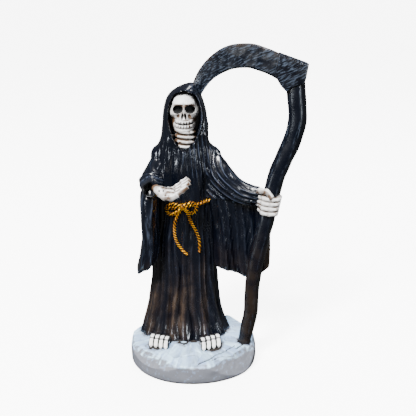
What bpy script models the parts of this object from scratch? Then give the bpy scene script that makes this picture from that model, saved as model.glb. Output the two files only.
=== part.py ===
"""Cast statue of a robed skeleton with a scythe on a rock base: one solid casting.

Run with: blender --background --python part.py
Blender 4.5, metres, +Z up. The origin is the centre of the base's underside and
the figure looks along -Y. Right and left are those of somebody facing the statue.
"""

import math

import bmesh
import bpy
from mathutils import Vector

# Driving dimensions, in metres.
FIGURE_HEIGHT = 0.164
BASE_WIDTH = 0.0815
BASE_DEPTH = 0.0745
BASE_THICKNESS = 0.0125
SHAFT_WIDTH_TOP = 0.0110
SHAFT_WIDTH_FOOT = 0.0082
BLADE_THICKNESS = 0.0062
ROPE_DIAMETER = 0.0020
FINGER_DIAMETER = 0.0035
TOE_WIDTH = 0.0031

# The figure is drawn in its own units. They are millimetres while the figure is
# FIGURE_HEIGHT tall, and its z is counted from the top of the base.
FIGURE_UNITS = 164.0
UNIT = FIGURE_HEIGHT / FIGURE_UNITS
SUNK = 3.0

# How finely each form is faceted.
ROBE_SIDES = 40
ROBE_RING_STEP = 10.9
HOOD_RING_STEP = 4.8
BASE_SIDES = 32
SLEEVE_SIDES = 16
SKULL_SIDES = 20
SKULL_RINGS = 13

BLACK = ("black_paint", (0.012, 0.013, 0.018), 0.18, 0.0)
BONE = ("bone_paint", (0.80, 0.77, 0.70), 0.40, 0.0)
GOLD = ("gold_paint", (0.72, 0.42, 0.06), 0.35, 0.3)
STONE = ("stone_paint", (0.62, 0.68, 0.76), 0.60, 0.0)


def ease(low, high, value):
    """Goes smoothly from 0 at low to 1 at high."""
    share = min(1.0, max(0.0, (value - low) / (high - low)))
    return share * share * (3.0 - 2.0 * share)


def bell(distance, width):
    """1 where distance is 0, falling away smoothly over width."""
    return math.exp(-((distance / width) ** 2))


def along(stations, where):
    """The row of stations at a value of its first column, on a smooth curve."""
    rows = sorted(stations)
    where = min(max(where, rows[0][0]), rows[-1][0])
    i = max(k for k in range(len(rows) - 1) if rows[k][0] <= where)
    before, low, high = rows[max(i - 1, 0)], rows[i], rows[i + 1]
    after = rows[min(i + 2, len(rows) - 1)]
    step = high[0] - low[0]
    t = (where - low[0]) / step
    row = []
    for a, b, c, d in zip(before[1:], low[1:], high[1:], after[1:]):
        slope_low = (c - a) / (high[0] - before[0]) * step
        slope_high = (d - b) / (after[0] - low[0]) * step
        if (b - a) * (c - b) <= 0:
            slope_low = 0.0
        if (c - b) * (d - c) <= 0:
            slope_high = 0.0
        row.append(
            (2 * t**3 - 3 * t**2 + 1) * b
            + (t**3 - 2 * t**2 + t) * slope_low
            + (3 * t**2 - 2 * t**3) * c
            + (t**3 - t**2) * slope_high
        )
    return row


def at(x, y, z):
    """A point in the figure's units, in metres in the statue's frame."""
    return Vector((x * UNIT, y * UNIT, z * UNIT + BASE_THICKNESS))


def steps(low, high, step):
    """Evenly spaced values from low to high, no further apart than step."""
    count = max(1, math.ceil((high - low) / step - 1e-6))
    return [low + (high - low) * i / count for i in range(count + 1)]


def paint(finish):
    """The Principled material of a finish, made once."""
    name, colour, roughness, metallic = finish
    material = bpy.data.materials.get(name) or bpy.data.materials.new(name)
    material.use_nodes = True
    shader = material.node_tree.nodes["Principled BSDF"]
    shader.inputs["Base Color"].default_value = (*colour, 1.0)
    shader.inputs["Roughness"].default_value = roughness
    shader.inputs["Metallic"].default_value = metallic
    return material


def keep(name, bm, finish, collection="statue_forms"):
    """Adds a closed form to a collection: the forms are joined, the cutters are cut away."""
    bmesh.ops.recalc_face_normals(bm, faces=bm.faces)
    mesh = bpy.data.meshes.new(name)
    bm.to_mesh(mesh)
    bm.free()
    mesh.materials.append(paint(finish))
    obj = bpy.data.objects.new(name, mesh)
    bpy.data.collections[collection].objects.link(obj)
    obj.hide_render = True
    obj.display_type = "WIRE"
    return obj


def loft(rings):
    """A skin over unlike rings of points, with a flat cap on the first and the last."""
    bm = bmesh.new()
    loops = [[bm.verts.new(point) for point in ring] for ring in rings]
    for low, high in zip(loops, loops[1:]):
        for i in range(len(low)):
            j = (i + 1) % len(low)
            bm.faces.new((low[i], low[j], high[j], high[i]))
    bm.faces.new(reversed(loops[0]))
    bm.faces.new(loops[-1])
    return bm


def tube(name, points, radii, finish, resolution=1, cyclic=False):
    """A round bar along points in metres, with its own radius at each."""
    curve = bpy.data.curves.new(name, "CURVE")
    curve.dimensions = "3D"
    curve.bevel_depth = 1.0
    curve.bevel_resolution = resolution
    curve.use_fill_caps = not cyclic
    spline = curve.splines.new("POLY")
    spline.points.add(len(points) - 1)
    spline.use_cyclic_u = cyclic
    for spot, point, radius in zip(spline.points, points, radii):
        spot.co = (*point, 1.0)
        spot.radius = radius
    bar = bpy.data.objects.new(name + "_curve", curve)
    bpy.context.scene.collection.objects.link(bar)
    graph = bpy.context.evaluated_depsgraph_get()
    mesh = bpy.data.meshes.new_from_object(bar.evaluated_get(graph))
    bpy.data.objects.remove(bar)
    bm = bmesh.new()
    bm.from_mesh(mesh)
    bpy.data.meshes.remove(mesh)
    bmesh.ops.remove_doubles(bm, verts=bm.verts, dist=1e-6)
    return keep(name, bm, finish)


def sweep(name, stations, count, sides, folds, fold_depth, finish):
    """An elliptical limb along its stations, ridged lengthwise.

    A station is: share of the limb, x, y, z, half height, half thickness.
    """
    spots = [along(stations, i / count) for i in range(count + 1)]
    centres = [Vector(s[:3]) for s in spots]
    rings = []
    for i, (x, y, z, half_height, half_thick) in enumerate(spots):
        ahead = (centres[min(i + 1, count)] - centres[max(i - 1, 0)]).normalized()
        side = ahead.cross(Vector((0.0, 0.0, 1.0))).normalized()
        up = side.cross(ahead)
        ring = []
        for k in range(sides):
            angle = math.tau * k / sides
            ridge = 1.0 + fold_depth * math.sin(folds * angle + 2.0 * i / count) / half_height
            point = (
                centres[i]
                + up * (half_height * ridge * math.cos(angle))
                + side * (half_thick * ridge * math.sin(angle))
            )
            ring.append(at(*point))
        rings.append(ring)
    return keep(name, loft(rings), finish)


def ellipsoid(x, y, z, half_width, half_depth, half_height, segments=10, rings=7):
    """A closed ellipsoid at a point of the figure."""
    bm = bmesh.new()
    bmesh.ops.create_uvsphere(bm, u_segments=segments, v_segments=rings, radius=1.0)
    for vert in bm.verts:
        dx, dy, dz = vert.co
        vert.co = at(x + half_width * dx, y + half_depth * dy, z + half_height * dz)
    return bm


# Rock base.

# Reach of the outline as shares of its half width, every 30 degrees from the right
# side round the back. The outline is fuller at the back and at the front right corner.
BASE_REACH = (1.000, 0.975, 0.960, 0.905, 0.955, 1.000, 0.985, 0.965, 0.915, 0.885, 0.925, 1.005)
# Facets broken off the rim: bearing in degrees, slope from level, depth of the cut.
BASE_CHIPS = (
    (-131.0, 50.0, 0.0036),
    (-112.0, 28.0, 0.0016),
    (-86.0, 40.0, 0.0013),
    (-50.0, 30.0, 0.0048),
    (-33.0, 52.0, 0.0026),
    (-4.0, 40.0, 0.0018),
    (34.0, 50.0, 0.0014),
    (74.0, 42.0, 0.0018),
    (112.0, 50.0, 0.0014),
    (150.0, 42.0, 0.0020),
    (-172.0, 50.0, 0.0014),
)
BASE_MOUND = 0.0024
# Between the feet: x, y, half width, half depth, height of a lump of rock.
ROCK_LUMP = (-5.6, -12.4, 3.6, 2.4, 2.2)


def base_reach(angle):
    """Distance of the base's edge from its centre, in a direction."""
    turns = (math.degrees(angle) % 360.0) / 30.0
    i = int(turns)
    t = turns - i
    a, b, c, d = (BASE_REACH[(i + k) % 12] for k in (-1, 0, 1, 2))
    share = b + 0.5 * t * (c - a + t * (2 * a - 5 * b + 4 * c - d + t * (3 * (b - c) + d - a)))
    return share * BASE_WIDTH / 2


def base_point(angle, share, z):
    """A point of the base's outline, scaled by share, at a height in metres."""
    reach = base_reach(angle) * share
    deep = BASE_DEPTH / (BASE_WIDTH * (BASE_REACH[3] + BASE_REACH[9]) / 2)
    return Vector((reach * math.cos(angle), reach * math.sin(angle) * deep, z))


def make_base():
    """The block of rock, its rim broken into facets, and the lump between the feet."""
    # Share of the outline, share of the thickness, share of the mound.
    profile = (
        (0.965, 0.00, 0.0),
        (0.995, 0.14, 0.0),
        (1.000, 0.60, 0.0),
        (0.990, 1.00, 0.0),
        (0.740, 1.00, 0.6),
        (0.400, 1.00, 1.0),
    )
    rings = []
    for share, height, mound in profile:
        z = height * BASE_THICKNESS + mound * BASE_MOUND
        rings.append([base_point(math.tau * i / BASE_SIDES, share, z) for i in range(BASE_SIDES)])
    bm = loft(rings)
    for bearing, slope, depth in BASE_CHIPS:
        angle, lean = math.radians(bearing), math.radians(slope)
        normal = Vector(
            (math.cos(angle) * math.cos(lean), math.sin(angle) * math.cos(lean), math.sin(lean))
        )
        cut = bmesh.ops.bisect_plane(
            bm,
            geom=bm.verts[:] + bm.edges[:] + bm.faces[:],
            plane_co=base_point(angle, 1.0, BASE_THICKNESS) - normal * depth,
            plane_no=normal,
            clear_outer=True,
        )
        edges = [e for e in cut["geom_cut"] if isinstance(e, bmesh.types.BMEdge)]
        bmesh.ops.contextual_create(bm, geom=edges)
    keep("rock_base", bm, STONE)
    x, y, half_width, half_depth, height = ROCK_LUMP
    keep("rock_lump", ellipsoid(x, y, 1.4, half_width, half_depth, height, 7, 4), STONE)


# Robe and hood.

# Height, centre x, centre y, half width, depth in front of the centre, depth behind.
ROBE_STATIONS = (
    (-3.0, -5.2, 10.0, 28.0, 20.4, 20.0),
    (1.0, -5.2, 10.0, 28.2, 20.4, 20.5),
    (6.5, -5.3, 10.0, 26.8, 18.8, 19.6),
    (13.0, -5.5, 10.0, 24.6, 16.8, 18.0),
    (21.0, -5.5, 10.0, 22.5, 15.4, 17.0),
    (29.0, -5.4, 10.0, 21.4, 14.8, 16.5),
    (39.0, -5.2, 10.0, 20.5, 14.2, 16.0),
    (62.0, -4.8, 9.6, 19.2, 13.6, 15.4),
    (90.0, -4.3, 9.0, 17.6, 12.4, 14.4),
    (103.0, -4.1, 8.6, 18.6, 13.0, 14.4),
    (113.0, -4.0, 8.2, 20.2, 13.4, 13.8),
    (121.0, -3.9, 8.0, 20.9, 13.2, 13.2),
    (124.0, -4.0, 7.9, 20.0, 12.8, 13.0),
    (126.8, -4.4, 7.8, 16.4, 12.6, 12.8),
    (130.0, -4.3, 7.6, 14.7, 13.0, 12.6),
    (134.5, -3.9, 7.4, 14.1, 13.6, 12.6),
    (140.6, -3.7, 7.2, 13.6, 14.2, 12.8),
    (146.7, -3.9, 7.0, 12.8, 14.4, 12.8),
    (152.6, -4.1, 7.0, 11.4, 14.0, 12.0),
    (156.0, -3.9, 7.0, 10.2, 13.2, 10.8),
    (158.8, -3.3, 7.0, 8.6, 11.8, 9.2),
    (161.2, -2.2, 6.6, 6.4, 9.2, 7.0),
    (163.2, -0.8, 6.0, 3.6, 5.6, 4.4),
    (164.0, -0.4, 5.6, 1.4, 2.4, 1.8),
)
HOOD_Z = 121.0
HEM_FOLDS = 14.0
HEM_FOLD_DEPTH = 2.6
BODY_FOLD_DEPTH = 0.7
HOOD_FOLD_DEPTH = 0.8
CHEST_FOLD_DEPTH = 0.75

# The opening of the hood: height and half width about its own middle.
OPENING_X = -3.8
OPENING_STATIONS = (
    (127.2, 1.2),
    (128.4, 3.8),
    (130.6, 5.8),
    (134.0, 7.2),
    (140.0, 9.0),
    (147.0, 9.7),
    (152.0, 9.0),
    (156.0, 7.5),
    (158.6, 5.4),
    (160.2, 1.6),
)
OPENING_FRONT = -12.0
OPENING_BACK = 5.0


def fold_depth(angle, z):
    """How far a fold of the robe stands out: deep at the hem, shallow above."""
    warped = angle + 0.14 * math.sin(2 * angle + 0.7) + 0.05 * math.sin(5 * angle + z * 0.012)
    wave = abs(math.sin(HEM_FOLDS / 2 * warped + 0.4)) ** 0.8 - 0.62
    depth = BODY_FOLD_DEPTH + (HEM_FOLD_DEPTH - BODY_FOLD_DEPTH) * ease(80.0, 2.0, z)
    top = math.sin(12 * angle + 0.02 * z) * HOOD_FOLD_DEPTH * ease(164.0, 140.0, z)
    aside = ease(0.55, 0.95, abs(math.remainder(angle, math.tau)))
    chest = math.sin(11 * angle + 0.03 * z) * CHEST_FOLD_DEPTH
    push = wave * depth * ease(126.0, 112.0, z) + 0.5 * top * aside * ease(114.0, 130.0, z)
    return push + chest * ease(88.0, 102.0, z) * ease(127.0, 117.0, z)


def robe_point(angle, z, proud=0.0):
    """A point of the robe. Angle 0 faces front and a quarter turn faces right."""
    cx, cy, half, front, back = along(ROBE_STATIONS, z)
    deep = front if math.cos(angle) > 0 else back
    push = fold_depth(angle, z) + proud
    return Vector((cx + (half + push) * math.sin(angle), cy - (deep + push) * math.cos(angle), z))


def make_robe():
    """The robe with its hood, and the hollow that opens the hood to the front."""
    heights = steps(-SUNK, 13.0, 5.4) + steps(13.0, HOOD_Z, ROBE_RING_STEP)[1:]
    heights += steps(HOOD_Z, 129.0, 2.7)[1:] + steps(129.0, 157.0, HOOD_RING_STEP)[1:]
    heights += [159.6, 161.8, 163.2, 164.0]
    rings = [
        [at(*robe_point(math.tau * i / ROBE_SIDES, z)) for i in range(ROBE_SIDES)]
        for z in heights
    ]
    bm = loft(rings)
    bmesh.ops.triangulate(bm, faces=bm.faces)
    robe = keep("statue", bm, BLACK, "santa_muerte_statue")
    robe.hide_render = False
    robe.display_type = "TEXTURED"
    right = [(OPENING_X + half, z) for z, half in OPENING_STATIONS]
    left = [(OPENING_X - half, z) for z, half in reversed(OPENING_STATIONS)]
    mid_z = (OPENING_STATIONS[0][0] + OPENING_STATIONS[-1][0]) / 2
    rings = []
    for y, share in ((OPENING_FRONT, 1.06), (OPENING_BACK, 0.90)):
        rings.append(
            [
                at(OPENING_X + (x - OPENING_X) * share, y, mid_z + (z - mid_z) * share)
                for x, z in right + left
            ]
        )
    bm = loft(rings)
    bmesh.ops.triangulate(bm, faces=bm.faces)
    keep("hood_hollow", bm, BLACK, "statue_cutters")
    return robe


# Sleeves: a swept arm and a hanging fall of cloth on each side.

RIGHT_ARM = (
    (0.00, 4.0, 8.4, 116.0, 7.0, 7.0),
    (0.20, 10.2, 8.0, 113.8, 10.4, 8.2),
    (0.45, 17.0, 5.2, 107.6, 8.8, 8.6),
    (0.70, 25.6, 1.4, 100.2, 7.4, 7.6),
    (0.90, 34.2, -1.6, 97.2, 6.2, 6.2),
    (1.00, 38.6, -2.8, 97.8, 4.6, 4.4),
)
LEFT_ARM = (
    (0.00, -11.0, 8.4, 118.0, 6.0, 7.0),
    (0.22, -19.0, 7.6, 115.4, 6.6, 7.8),
    (0.45, -23.2, 3.6, 106.0, 5.8, 8.4),
    (0.70, -23.8, -6.6, 103.6, 5.8, 6.2),
    (0.90, -23.8, -14.6, 105.0, 5.4, 5.0),
    (1.00, -23.8, -18.6, 105.8, 4.6, 4.2),
)
ARM_FOLD = 0.6
ARM_FOLDS = 5

# Height, centre x, centre y, half width, half thickness of each hanging fall.
RIGHT_FALL = (
    (45.6, 31.0, 3.0, 16.0, 1.4),
    (47.4, 31.0, 3.0, 17.2, 2.8),
    (54.0, 31.0, 3.0, 17.6, 3.6),
    (66.0, 30.8, 3.2, 17.8, 4.2),
    (78.0, 30.0, 3.6, 18.0, 4.6),
    (88.0, 27.6, 4.0, 18.4, 5.0),
    (97.0, 23.0, 4.2, 16.5, 5.2),
    (104.0, 17.0, 4.6, 10.5, 4.8),
)
RIGHT_FALL_WAVE = 1.5
LEFT_FALL = (
    (48.6, -31.4, -4.6, 2.2, 2.2),
    (50.6, -29.8, -4.6, 4.4, 4.8),
    (55.0, -28.0, -4.2, 5.4, 7.8),
    (63.0, -26.4, -3.4, 5.4, 10.2),
    (73.0, -25.6, -2.8, 4.9, 12.0),
    (86.0, -25.8, -2.8, 5.0, 13.2),
    (98.0, -25.4, -3.0, 5.4, 12.4),
    (106.0, -24.8, -3.0, 4.0, 9.0),
)


def right_fall_point(angle, z):
    """A point of the wide fall of the right sleeve, spread flat behind the shaft."""
    cx, cy, half, thick = along(RIGHT_FALL, z)
    across = math.copysign(abs(math.cos(angle)) ** 0.8, math.cos(angle))
    x = cx + half * across
    low = ease(100.0, 50.0, z)
    wave = RIGHT_FALL_WAVE * low * math.sin(0.46 * x + 0.9 + 0.012 * z)
    curl = -3.4 * low * ease(0.1, 0.7, across)
    y = cy + wave + curl + thick * math.sin(angle)
    dip = 2.6 - 5.4 * ease(-1.0, 0.25, across) + 6.0 * ease(0.6, 1.0, across)
    return x, y, z + low * dip


def left_fall_point(angle, z):
    """A point of the left sleeve's fall, which ends in points outside and in front."""
    cx, cy, half, deep = along(LEFT_FALL, z)
    low = ease(100.0, 55.0, z)
    ridge = 1.0 + 0.12 * low * math.sin(5 * angle + 0.8)
    across = math.copysign(abs(math.cos(angle)) ** 0.7, math.cos(angle))
    x = cx + half * ridge * across
    y = cy + deep * ridge * math.sin(angle)
    return x, y, z + 1.6 * low * across


def make_sleeves():
    """Both arms in their sleeves and the cloth that hangs from them."""
    sweep("right_sleeve_arm", RIGHT_ARM, 7, SLEEVE_SIDES, ARM_FOLDS, ARM_FOLD, BLACK)
    sweep("left_sleeve_arm", LEFT_ARM, 7, SLEEVE_SIDES, ARM_FOLDS, ARM_FOLD, BLACK)
    for name, point, stations, sides in (
        ("right_sleeve_fall", right_fall_point, RIGHT_FALL, 24),
        ("left_sleeve_fall", left_fall_point, LEFT_FALL, SLEEVE_SIDES),
    ):
        heights = [stations[0][0]] + steps(stations[1][0], stations[-1][0], 8.2)
        rings = [[at(*point(math.tau * i / sides, z)) for i in range(sides)] for z in heights]
        keep(name, loft(rings), BLACK)


# Skull and neck.

SKULL_X = -4.4
SKULL_Y = 4.6
# Height of the skull, its half width, how far it reaches in front.
SKULL_STATIONS = (
    (134.8, 3.0, 6.4),
    (136.0, 5.2, 8.6),
    (138.6, 6.5, 9.4),
    (141.4, 7.1, 9.7),
    (143.8, 7.4, 9.4),
    (146.0, 8.5, 9.2),
    (148.0, 8.9, 9.0),
    (150.2, 8.4, 9.2),
    (152.4, 7.6, 9.3),
    (154.6, 6.8, 8.8),
    (156.8, 5.2, 7.0),
    (158.2, 2.6, 3.6),
)
SKULL_BACK = 6.0
# What is carved out of the skull on each side: how far from its middle, y, height,
# then half width, half depth and half height of the hollow.
SKULL_HOLLOWS = (
    (3.45, -4.2, 149.8, 2.75, 3.2, 2.25),
    (0.80, -5.2, 145.6, 0.60, 1.4, 1.70),
    (6.70, -2.6, 143.2, 1.20, 2.0, 1.60),
)
HOLLOW_FACETS = ((10, 6), (6, 4), (8, 5))
MOUTH_Z = 140.5
MOUTH_RADIUS = 0.42
MOUTH_HALF = 5.0
MOUTH_CURVE = 0.03
NECK_Y = 2.0
NECK_BOTTOM = 126.0
NECK_TOP = 137.6
NECK_RINGS = 4
NECK_SIDES = 12


def skull_point(angle, z):
    """A point of the skull before its hollows are carved."""
    half, reach = along(SKULL_STATIONS, z)
    front = math.cos(angle)
    deep = reach if front > 0 else SKULL_BACK * reach / 9.6
    square = abs(math.sin(angle)) ** 0.86
    return SKULL_X + half * math.copysign(square, math.sin(angle)), SKULL_Y - deep * front, z


def make_skull():
    """The skull in the hood, its hollows carved out, and the ringed neck under it."""
    low, high = SKULL_STATIONS[0][0], SKULL_STATIONS[-1][0]
    rings = []
    for z in steps(low, high, (high - low) / SKULL_RINGS):
        angles = [math.tau * k / SKULL_SIDES for k in range(SKULL_SIDES)]
        rings.append([at(*skull_point(angle, z)) for angle in angles])
    bm = loft(rings)
    bmesh.ops.triangulate(bm, faces=bm.faces)
    skull = keep("skull", bm, BONE)
    for side in (-1, 1):
        for i, (aside, y, z, *halves) in enumerate(SKULL_HOLLOWS):
            name = f"skull_hollow_{'left' if side < 0 else 'right'}_{i + 1}"
            hollow = ellipsoid(SKULL_X + side * aside, y, z, *halves, *HOLLOW_FACETS[i])
            keep(name, hollow, BONE, "skull_cutters")
    mouth = []
    for dx in steps(-MOUTH_HALF, MOUTH_HALF, 2.1):
        z = MOUTH_Z + MOUTH_CURVE * dx * dx
        half, _ = along(SKULL_STATIONS, z)
        angle = math.asin(math.copysign((abs(dx) / half) ** (1 / 0.86), dx))
        mouth.append(at(*skull_point(angle, z)))
    slot = tube("skull_mouth", mouth, [MOUTH_RADIUS * UNIT] * len(mouth), BONE)
    bpy.data.collections["statue_forms"].objects.unlink(slot)
    bpy.data.collections["skull_cutters"].objects.link(slot)
    carve = skull.modifiers.new("carve", "BOOLEAN")
    carve.operation = "DIFFERENCE"
    carve.operand_type = "COLLECTION"
    carve.collection = bpy.data.collections["skull_cutters"]
    carve.solver = "EXACT"
    bm = bmesh.new()
    profile = [bm.verts.new(at(OPENING_X, NECK_Y, NECK_BOTTOM))]
    for i in range(2 * NECK_RINGS + 1):
        z = NECK_BOTTOM + (NECK_TOP - NECK_BOTTOM) * i / (2 * NECK_RINGS)
        swell = 6.2 if i % 2 else 5.5
        profile.append(bm.verts.new(at(OPENING_X + swell, NECK_Y, z)))
    profile.append(bm.verts.new(at(OPENING_X, NECK_Y, NECK_TOP)))
    edges = [bm.edges.new(pair) for pair in zip(profile, profile[1:])]
    bmesh.ops.spin(
        bm,
        geom=profile + edges,
        cent=at(OPENING_X, NECK_Y, 0.0),
        axis=(0.0, 0.0, 1.0),
        angle=math.tau,
        steps=NECK_SIDES,
        use_merge=True,
    )
    bmesh.ops.remove_doubles(bm, verts=bm.verts, dist=1e-6)
    keep("neck", bm, BONE)


# Hands and feet: bars with swollen joints.


def digit(name, points, radius, finish=BONE):
    """A bony finger or toe through its joints, swollen at each and rounded at its tip."""
    spots, radii = [], []
    for start, end in zip(points, points[1:]):
        for share, swell in ((0.0, 1.08), (0.5, 0.88)):
            spots.append(at(*Vector(start).lerp(Vector(end), share)))
            radii.append(radius * swell)
    tip, before = Vector(points[-1]), Vector(points[-2])
    spots += [at(*before.lerp(tip, 0.84)), at(*tip)]
    radii += [radius * 0.96, radius * 0.5]
    return tube(name, spots, radii, finish)


def make_open_hand():
    """The left hand, palm up and fingers pointing right and up."""
    radius = FINGER_DIAMETER / 2
    for i in range(4):
        reach = (0.90, 1.0, 1.0, 0.88)[i]
        base = Vector((-11.0, -27.4 + 2.5 * i, 103.4 + 0.95 * i))
        points = (
            base,
            base + Vector((3.6, -0.2, 2.2)) * reach,
            base + Vector((7.0, -0.3, 4.9)) * reach,
            base + Vector((10.6, 0.0, 7.6)) * reach,
        )
        digit(f"open_finger_{i + 1}", points, radius)
    thumb = (
        (-17.8, -25.0, 105.2),
        (-14.6, -27.0, 103.7),
        (-11.2, -28.4, 103.7),
        (-7.0, -28.8, 105.8),
    )
    digit("open_thumb", thumb, radius)
    palm = (
        (0.00, -20.6, -17.6, 106.6, 2.2, 2.4),
        (0.28, -17.6, -22.0, 106.2, 3.1, 3.6),
        (0.62, -13.6, -23.8, 105.0, 3.8, 4.7),
        (1.00, -9.2, -23.8, 105.4, 2.6, 4.6),
    )
    sweep("open_palm", palm, 5, 12, 0, 0.0, BONE)


def make_fist():
    """The right hand, closed round the scythe's shaft."""
    radius = FINGER_DIAMETER / 2
    for i in range(4):
        z = 98.6 - 3.25 * i
        lean = -0.35 * i
        points = (
            (38.8 + lean, -3.4, z - 0.3),
            (42.8 + lean, -12.6, z),
            (51.0 + lean, -13.8, z),
            (53.4 + lean, -7.6, z),
        )
        digit(f"fist_finger_{i + 1}", points, radius)
    thumb = (
        (38.6, -3.0, 101.0),
        (40.8, -9.8, 103.6),
        (45.0, -13.4, 102.6),
        (48.4, -14.8, 99.2),
    )
    digit("fist_thumb", thumb, radius * 1.06)
    back = (
        (0.00, 36.2, -1.2, 98.6, 4.2, 3.4),
        (0.45, 39.6, -4.4, 95.8, 6.8, 3.4),
        (1.00, 42.4, -8.4, 94.2, 6.6, 3.0),
    )
    sweep("fist_back", back, 3, 12, 0, 0.0, BONE)


# Each foot: its side, the x of its middle, and how far forward its toes reach at its
# outer and inner edge.
FEET = (("left", -1, -21.1, -16.2, -19.4), ("right", 1, 12.0, -16.4, -21.4))
TOES = 4
# Radius of a toe at its root, knuckle, middle, nail and tip, as shares of its width.
TOE_SWELL = (0.60, 0.66, 0.60, 0.66, 0.44)


def make_feet():
    """Blunt toes side by side under the hem, the outer ones set further back."""
    for name, side, centre_x, outer_y, inner_y in FEET:
        for i in range(TOES):
            outward = i / (TOES - 1)
            across = (outward - 0.5) * (TOES - 1) * (TOE_WIDTH / UNIT) * 0.96
            x = centre_x + side * across
            tip_y = inner_y + (outer_y - inner_y) * outward
            path = (
                at(x - side * 1.4, tip_y + 9.0, 4.2),
                at(x - side * 0.5, tip_y + 5.0, 4.4),
                at(x - side * 0.2, tip_y + 2.8, 3.6),
                at(x, tip_y + 0.6, 2.2),
                at(x, tip_y - 0.8, 1.2),
            )
            radii = [TOE_WIDTH * share for share in TOE_SWELL]
            tube(f"toe_{name}_{i + 1}", path, radii, BONE)


# Rope girdle, given as x and z on the robe's front.

KNOT = (-5.1, 90.8)
LEFT_LOOP = (
    (-5.1, 91.0),
    (-9.0, 92.0),
    (-12.8, 91.6),
    (-15.4, 89.2),
    (-14.6, 86.2),
    (-12.0, 85.4),
    (-9.0, 87.2),
    (-5.1, 90.6),
)
RIGHT_LOOP = (
    (-5.1, 91.0),
    (-1.6, 93.0),
    (1.4, 92.4),
    (2.9, 89.7),
    (1.6, 87.0),
    (-1.0, 86.6),
    (-3.0, 88.2),
    (-5.1, 90.4),
)
LEFT_TAIL = (
    (-5.4, 90.2),
    (-8.6, 85.2),
    (-10.6, 77.0),
    (-10.0, 70.4),
    (-7.2, 64.6),
    (-2.8, 60.0),
)
RIGHT_TAIL = (
    (-4.8, 90.2),
    (-2.2, 86.0),
    (-0.4, 80.6),
    (2.4, 75.4),
    (4.5, 68.6),
    (4.6, 60.8),
)
KNOT_BED = ((-10.2, 90.9), (-7.6, 91.2), (-2.6, 91.6), (0.4, 92.0))
GIRDLE_RISE = 3.2
# On the left the girdle sinks into the folds: bearing, half its run there, depth.
GIRDLE_SUNK = (-1.3, 0.66, 3.2)
GIRDLE_SIDES = 22


def on_robe(x, z, proud):
    """The point of the robe's front at x and z, standing proud of it."""
    cx, _, half, _, _ = along(ROBE_STATIONS, z)
    angle = math.asin(max(-0.98, min(0.98, (x - cx) / half)))
    return Vector((x, robe_point(angle, z, proud).y, z))


def make_rope():
    """The rope: once round the waist, knotted in front into a bow with two tails."""
    radius = ROPE_DIAMETER / 2
    proud = radius / UNIT * 0.35
    bearing, run, depth = GIRDLE_SUNK
    turn = []
    for i in range(GIRDLE_SIDES):
        angle = math.tau * i / GIRDLE_SIDES
        away = abs(math.remainder(angle - bearing, math.tau))
        lift = proud - depth * ease(run, run - 0.2, away)
        turn.append(at(*robe_point(angle, KNOT[1] + GIRDLE_RISE * math.sin(angle), lift)))
    tube("girdle", turn, [radius] * GIRDLE_SIDES, GOLD, cyclic=True)
    for name, points, count, lift in (
        ("bow_left", LEFT_LOOP, 10, 0.35),
        ("bow_right", RIGHT_LOOP, 10, 0.35),
        ("tail_left", LEFT_TAIL, 9, 0.2),
        ("tail_right", RIGHT_TAIL, 8, 0.2),
    ):
        bends = [(i / (len(points) - 1), *p) for i, p in enumerate(points)]
        path = [along(bends, k / count) for k in range(count + 1)]
        spots = [at(*on_robe(x, z, proud + lift)) for x, z in path]
        tube(name, spots, [radius] * len(spots), GOLD)
    knot = on_robe(*KNOT, proud + 0.4)
    ends = [at(*(knot + Vector((0, 0, dz)))) for dz in (-2.2, -1.2, 1.2, 2.2)]
    tube("knot", ends, [radius * 1.0, radius * 1.8, radius * 1.8, radius * 1.0], GOLD)
    bed = [at(*on_robe(x, z, 0.0)) for x, z in KNOT_BED]
    tube("knot_bed", bed, [radius] * len(bed), GOLD)


# Scythe.

# Share of the shaft, x, y, z. It stands on the base, in front of the right sleeve.
SHAFT_PATH = (
    (0.00, 32.6, -7.6, -3.0),
    (0.05, 33.2, -7.6, 3.0),
    (0.20, 36.6, -7.4, 22.0),
    (0.33, 37.4, -7.4, 40.0),
    (0.46, 40.2, -7.4, 61.0),
    (0.58, 44.8, -7.6, 83.0),
    (0.70, 49.4, -7.6, 108.0),
    (0.80, 54.2, -7.2, 121.0),
    (0.88, 58.8, -6.8, 133.0),
    (0.94, 61.4, -6.4, 146.0),
    (1.00, 58.6, -6.0, 171.0),
)
# Share of the blade from the block to the tip: x, y, z of its middle, and its half width.
BLADE_PATH = (
    (0.00, 53.5, -5.6, 172.4, 6.6),
    (0.10, 48.6, -5.0, 175.2, 6.6),
    (0.24, 41.6, -3.6, 178.0, 6.7),
    (0.38, 32.6, -1.8, 180.2, 6.8),
    (0.52, 23.4, 0.4, 179.2, 6.7),
    (0.66, 15.8, 2.6, 175.4, 6.0),
    (0.78, 9.2, 4.4, 169.6, 4.9),
    (0.90, 4.2, 6.0, 161.6, 3.8),
    (1.00, 1.6, 7.0, 154.0, 2.8),
)
# The bound block at the corner: x and z of its outline.
BLOCK_OUTLINE = (
    (47.2, 170.6),
    (51.4, 163.6),
    (54.0, 161.0),
    (58.6, 163.6),
    (63.2, 165.0),
    (64.8, 167.6),
    (66.2, 176.4),
    (50.4, 182.0),
    (49.2, 179.4),
)
BLOCK_CHAMFER = 0.0017
BLOCK_FRONT = -12.6
BLOCK_BACK = 0.6


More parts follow.
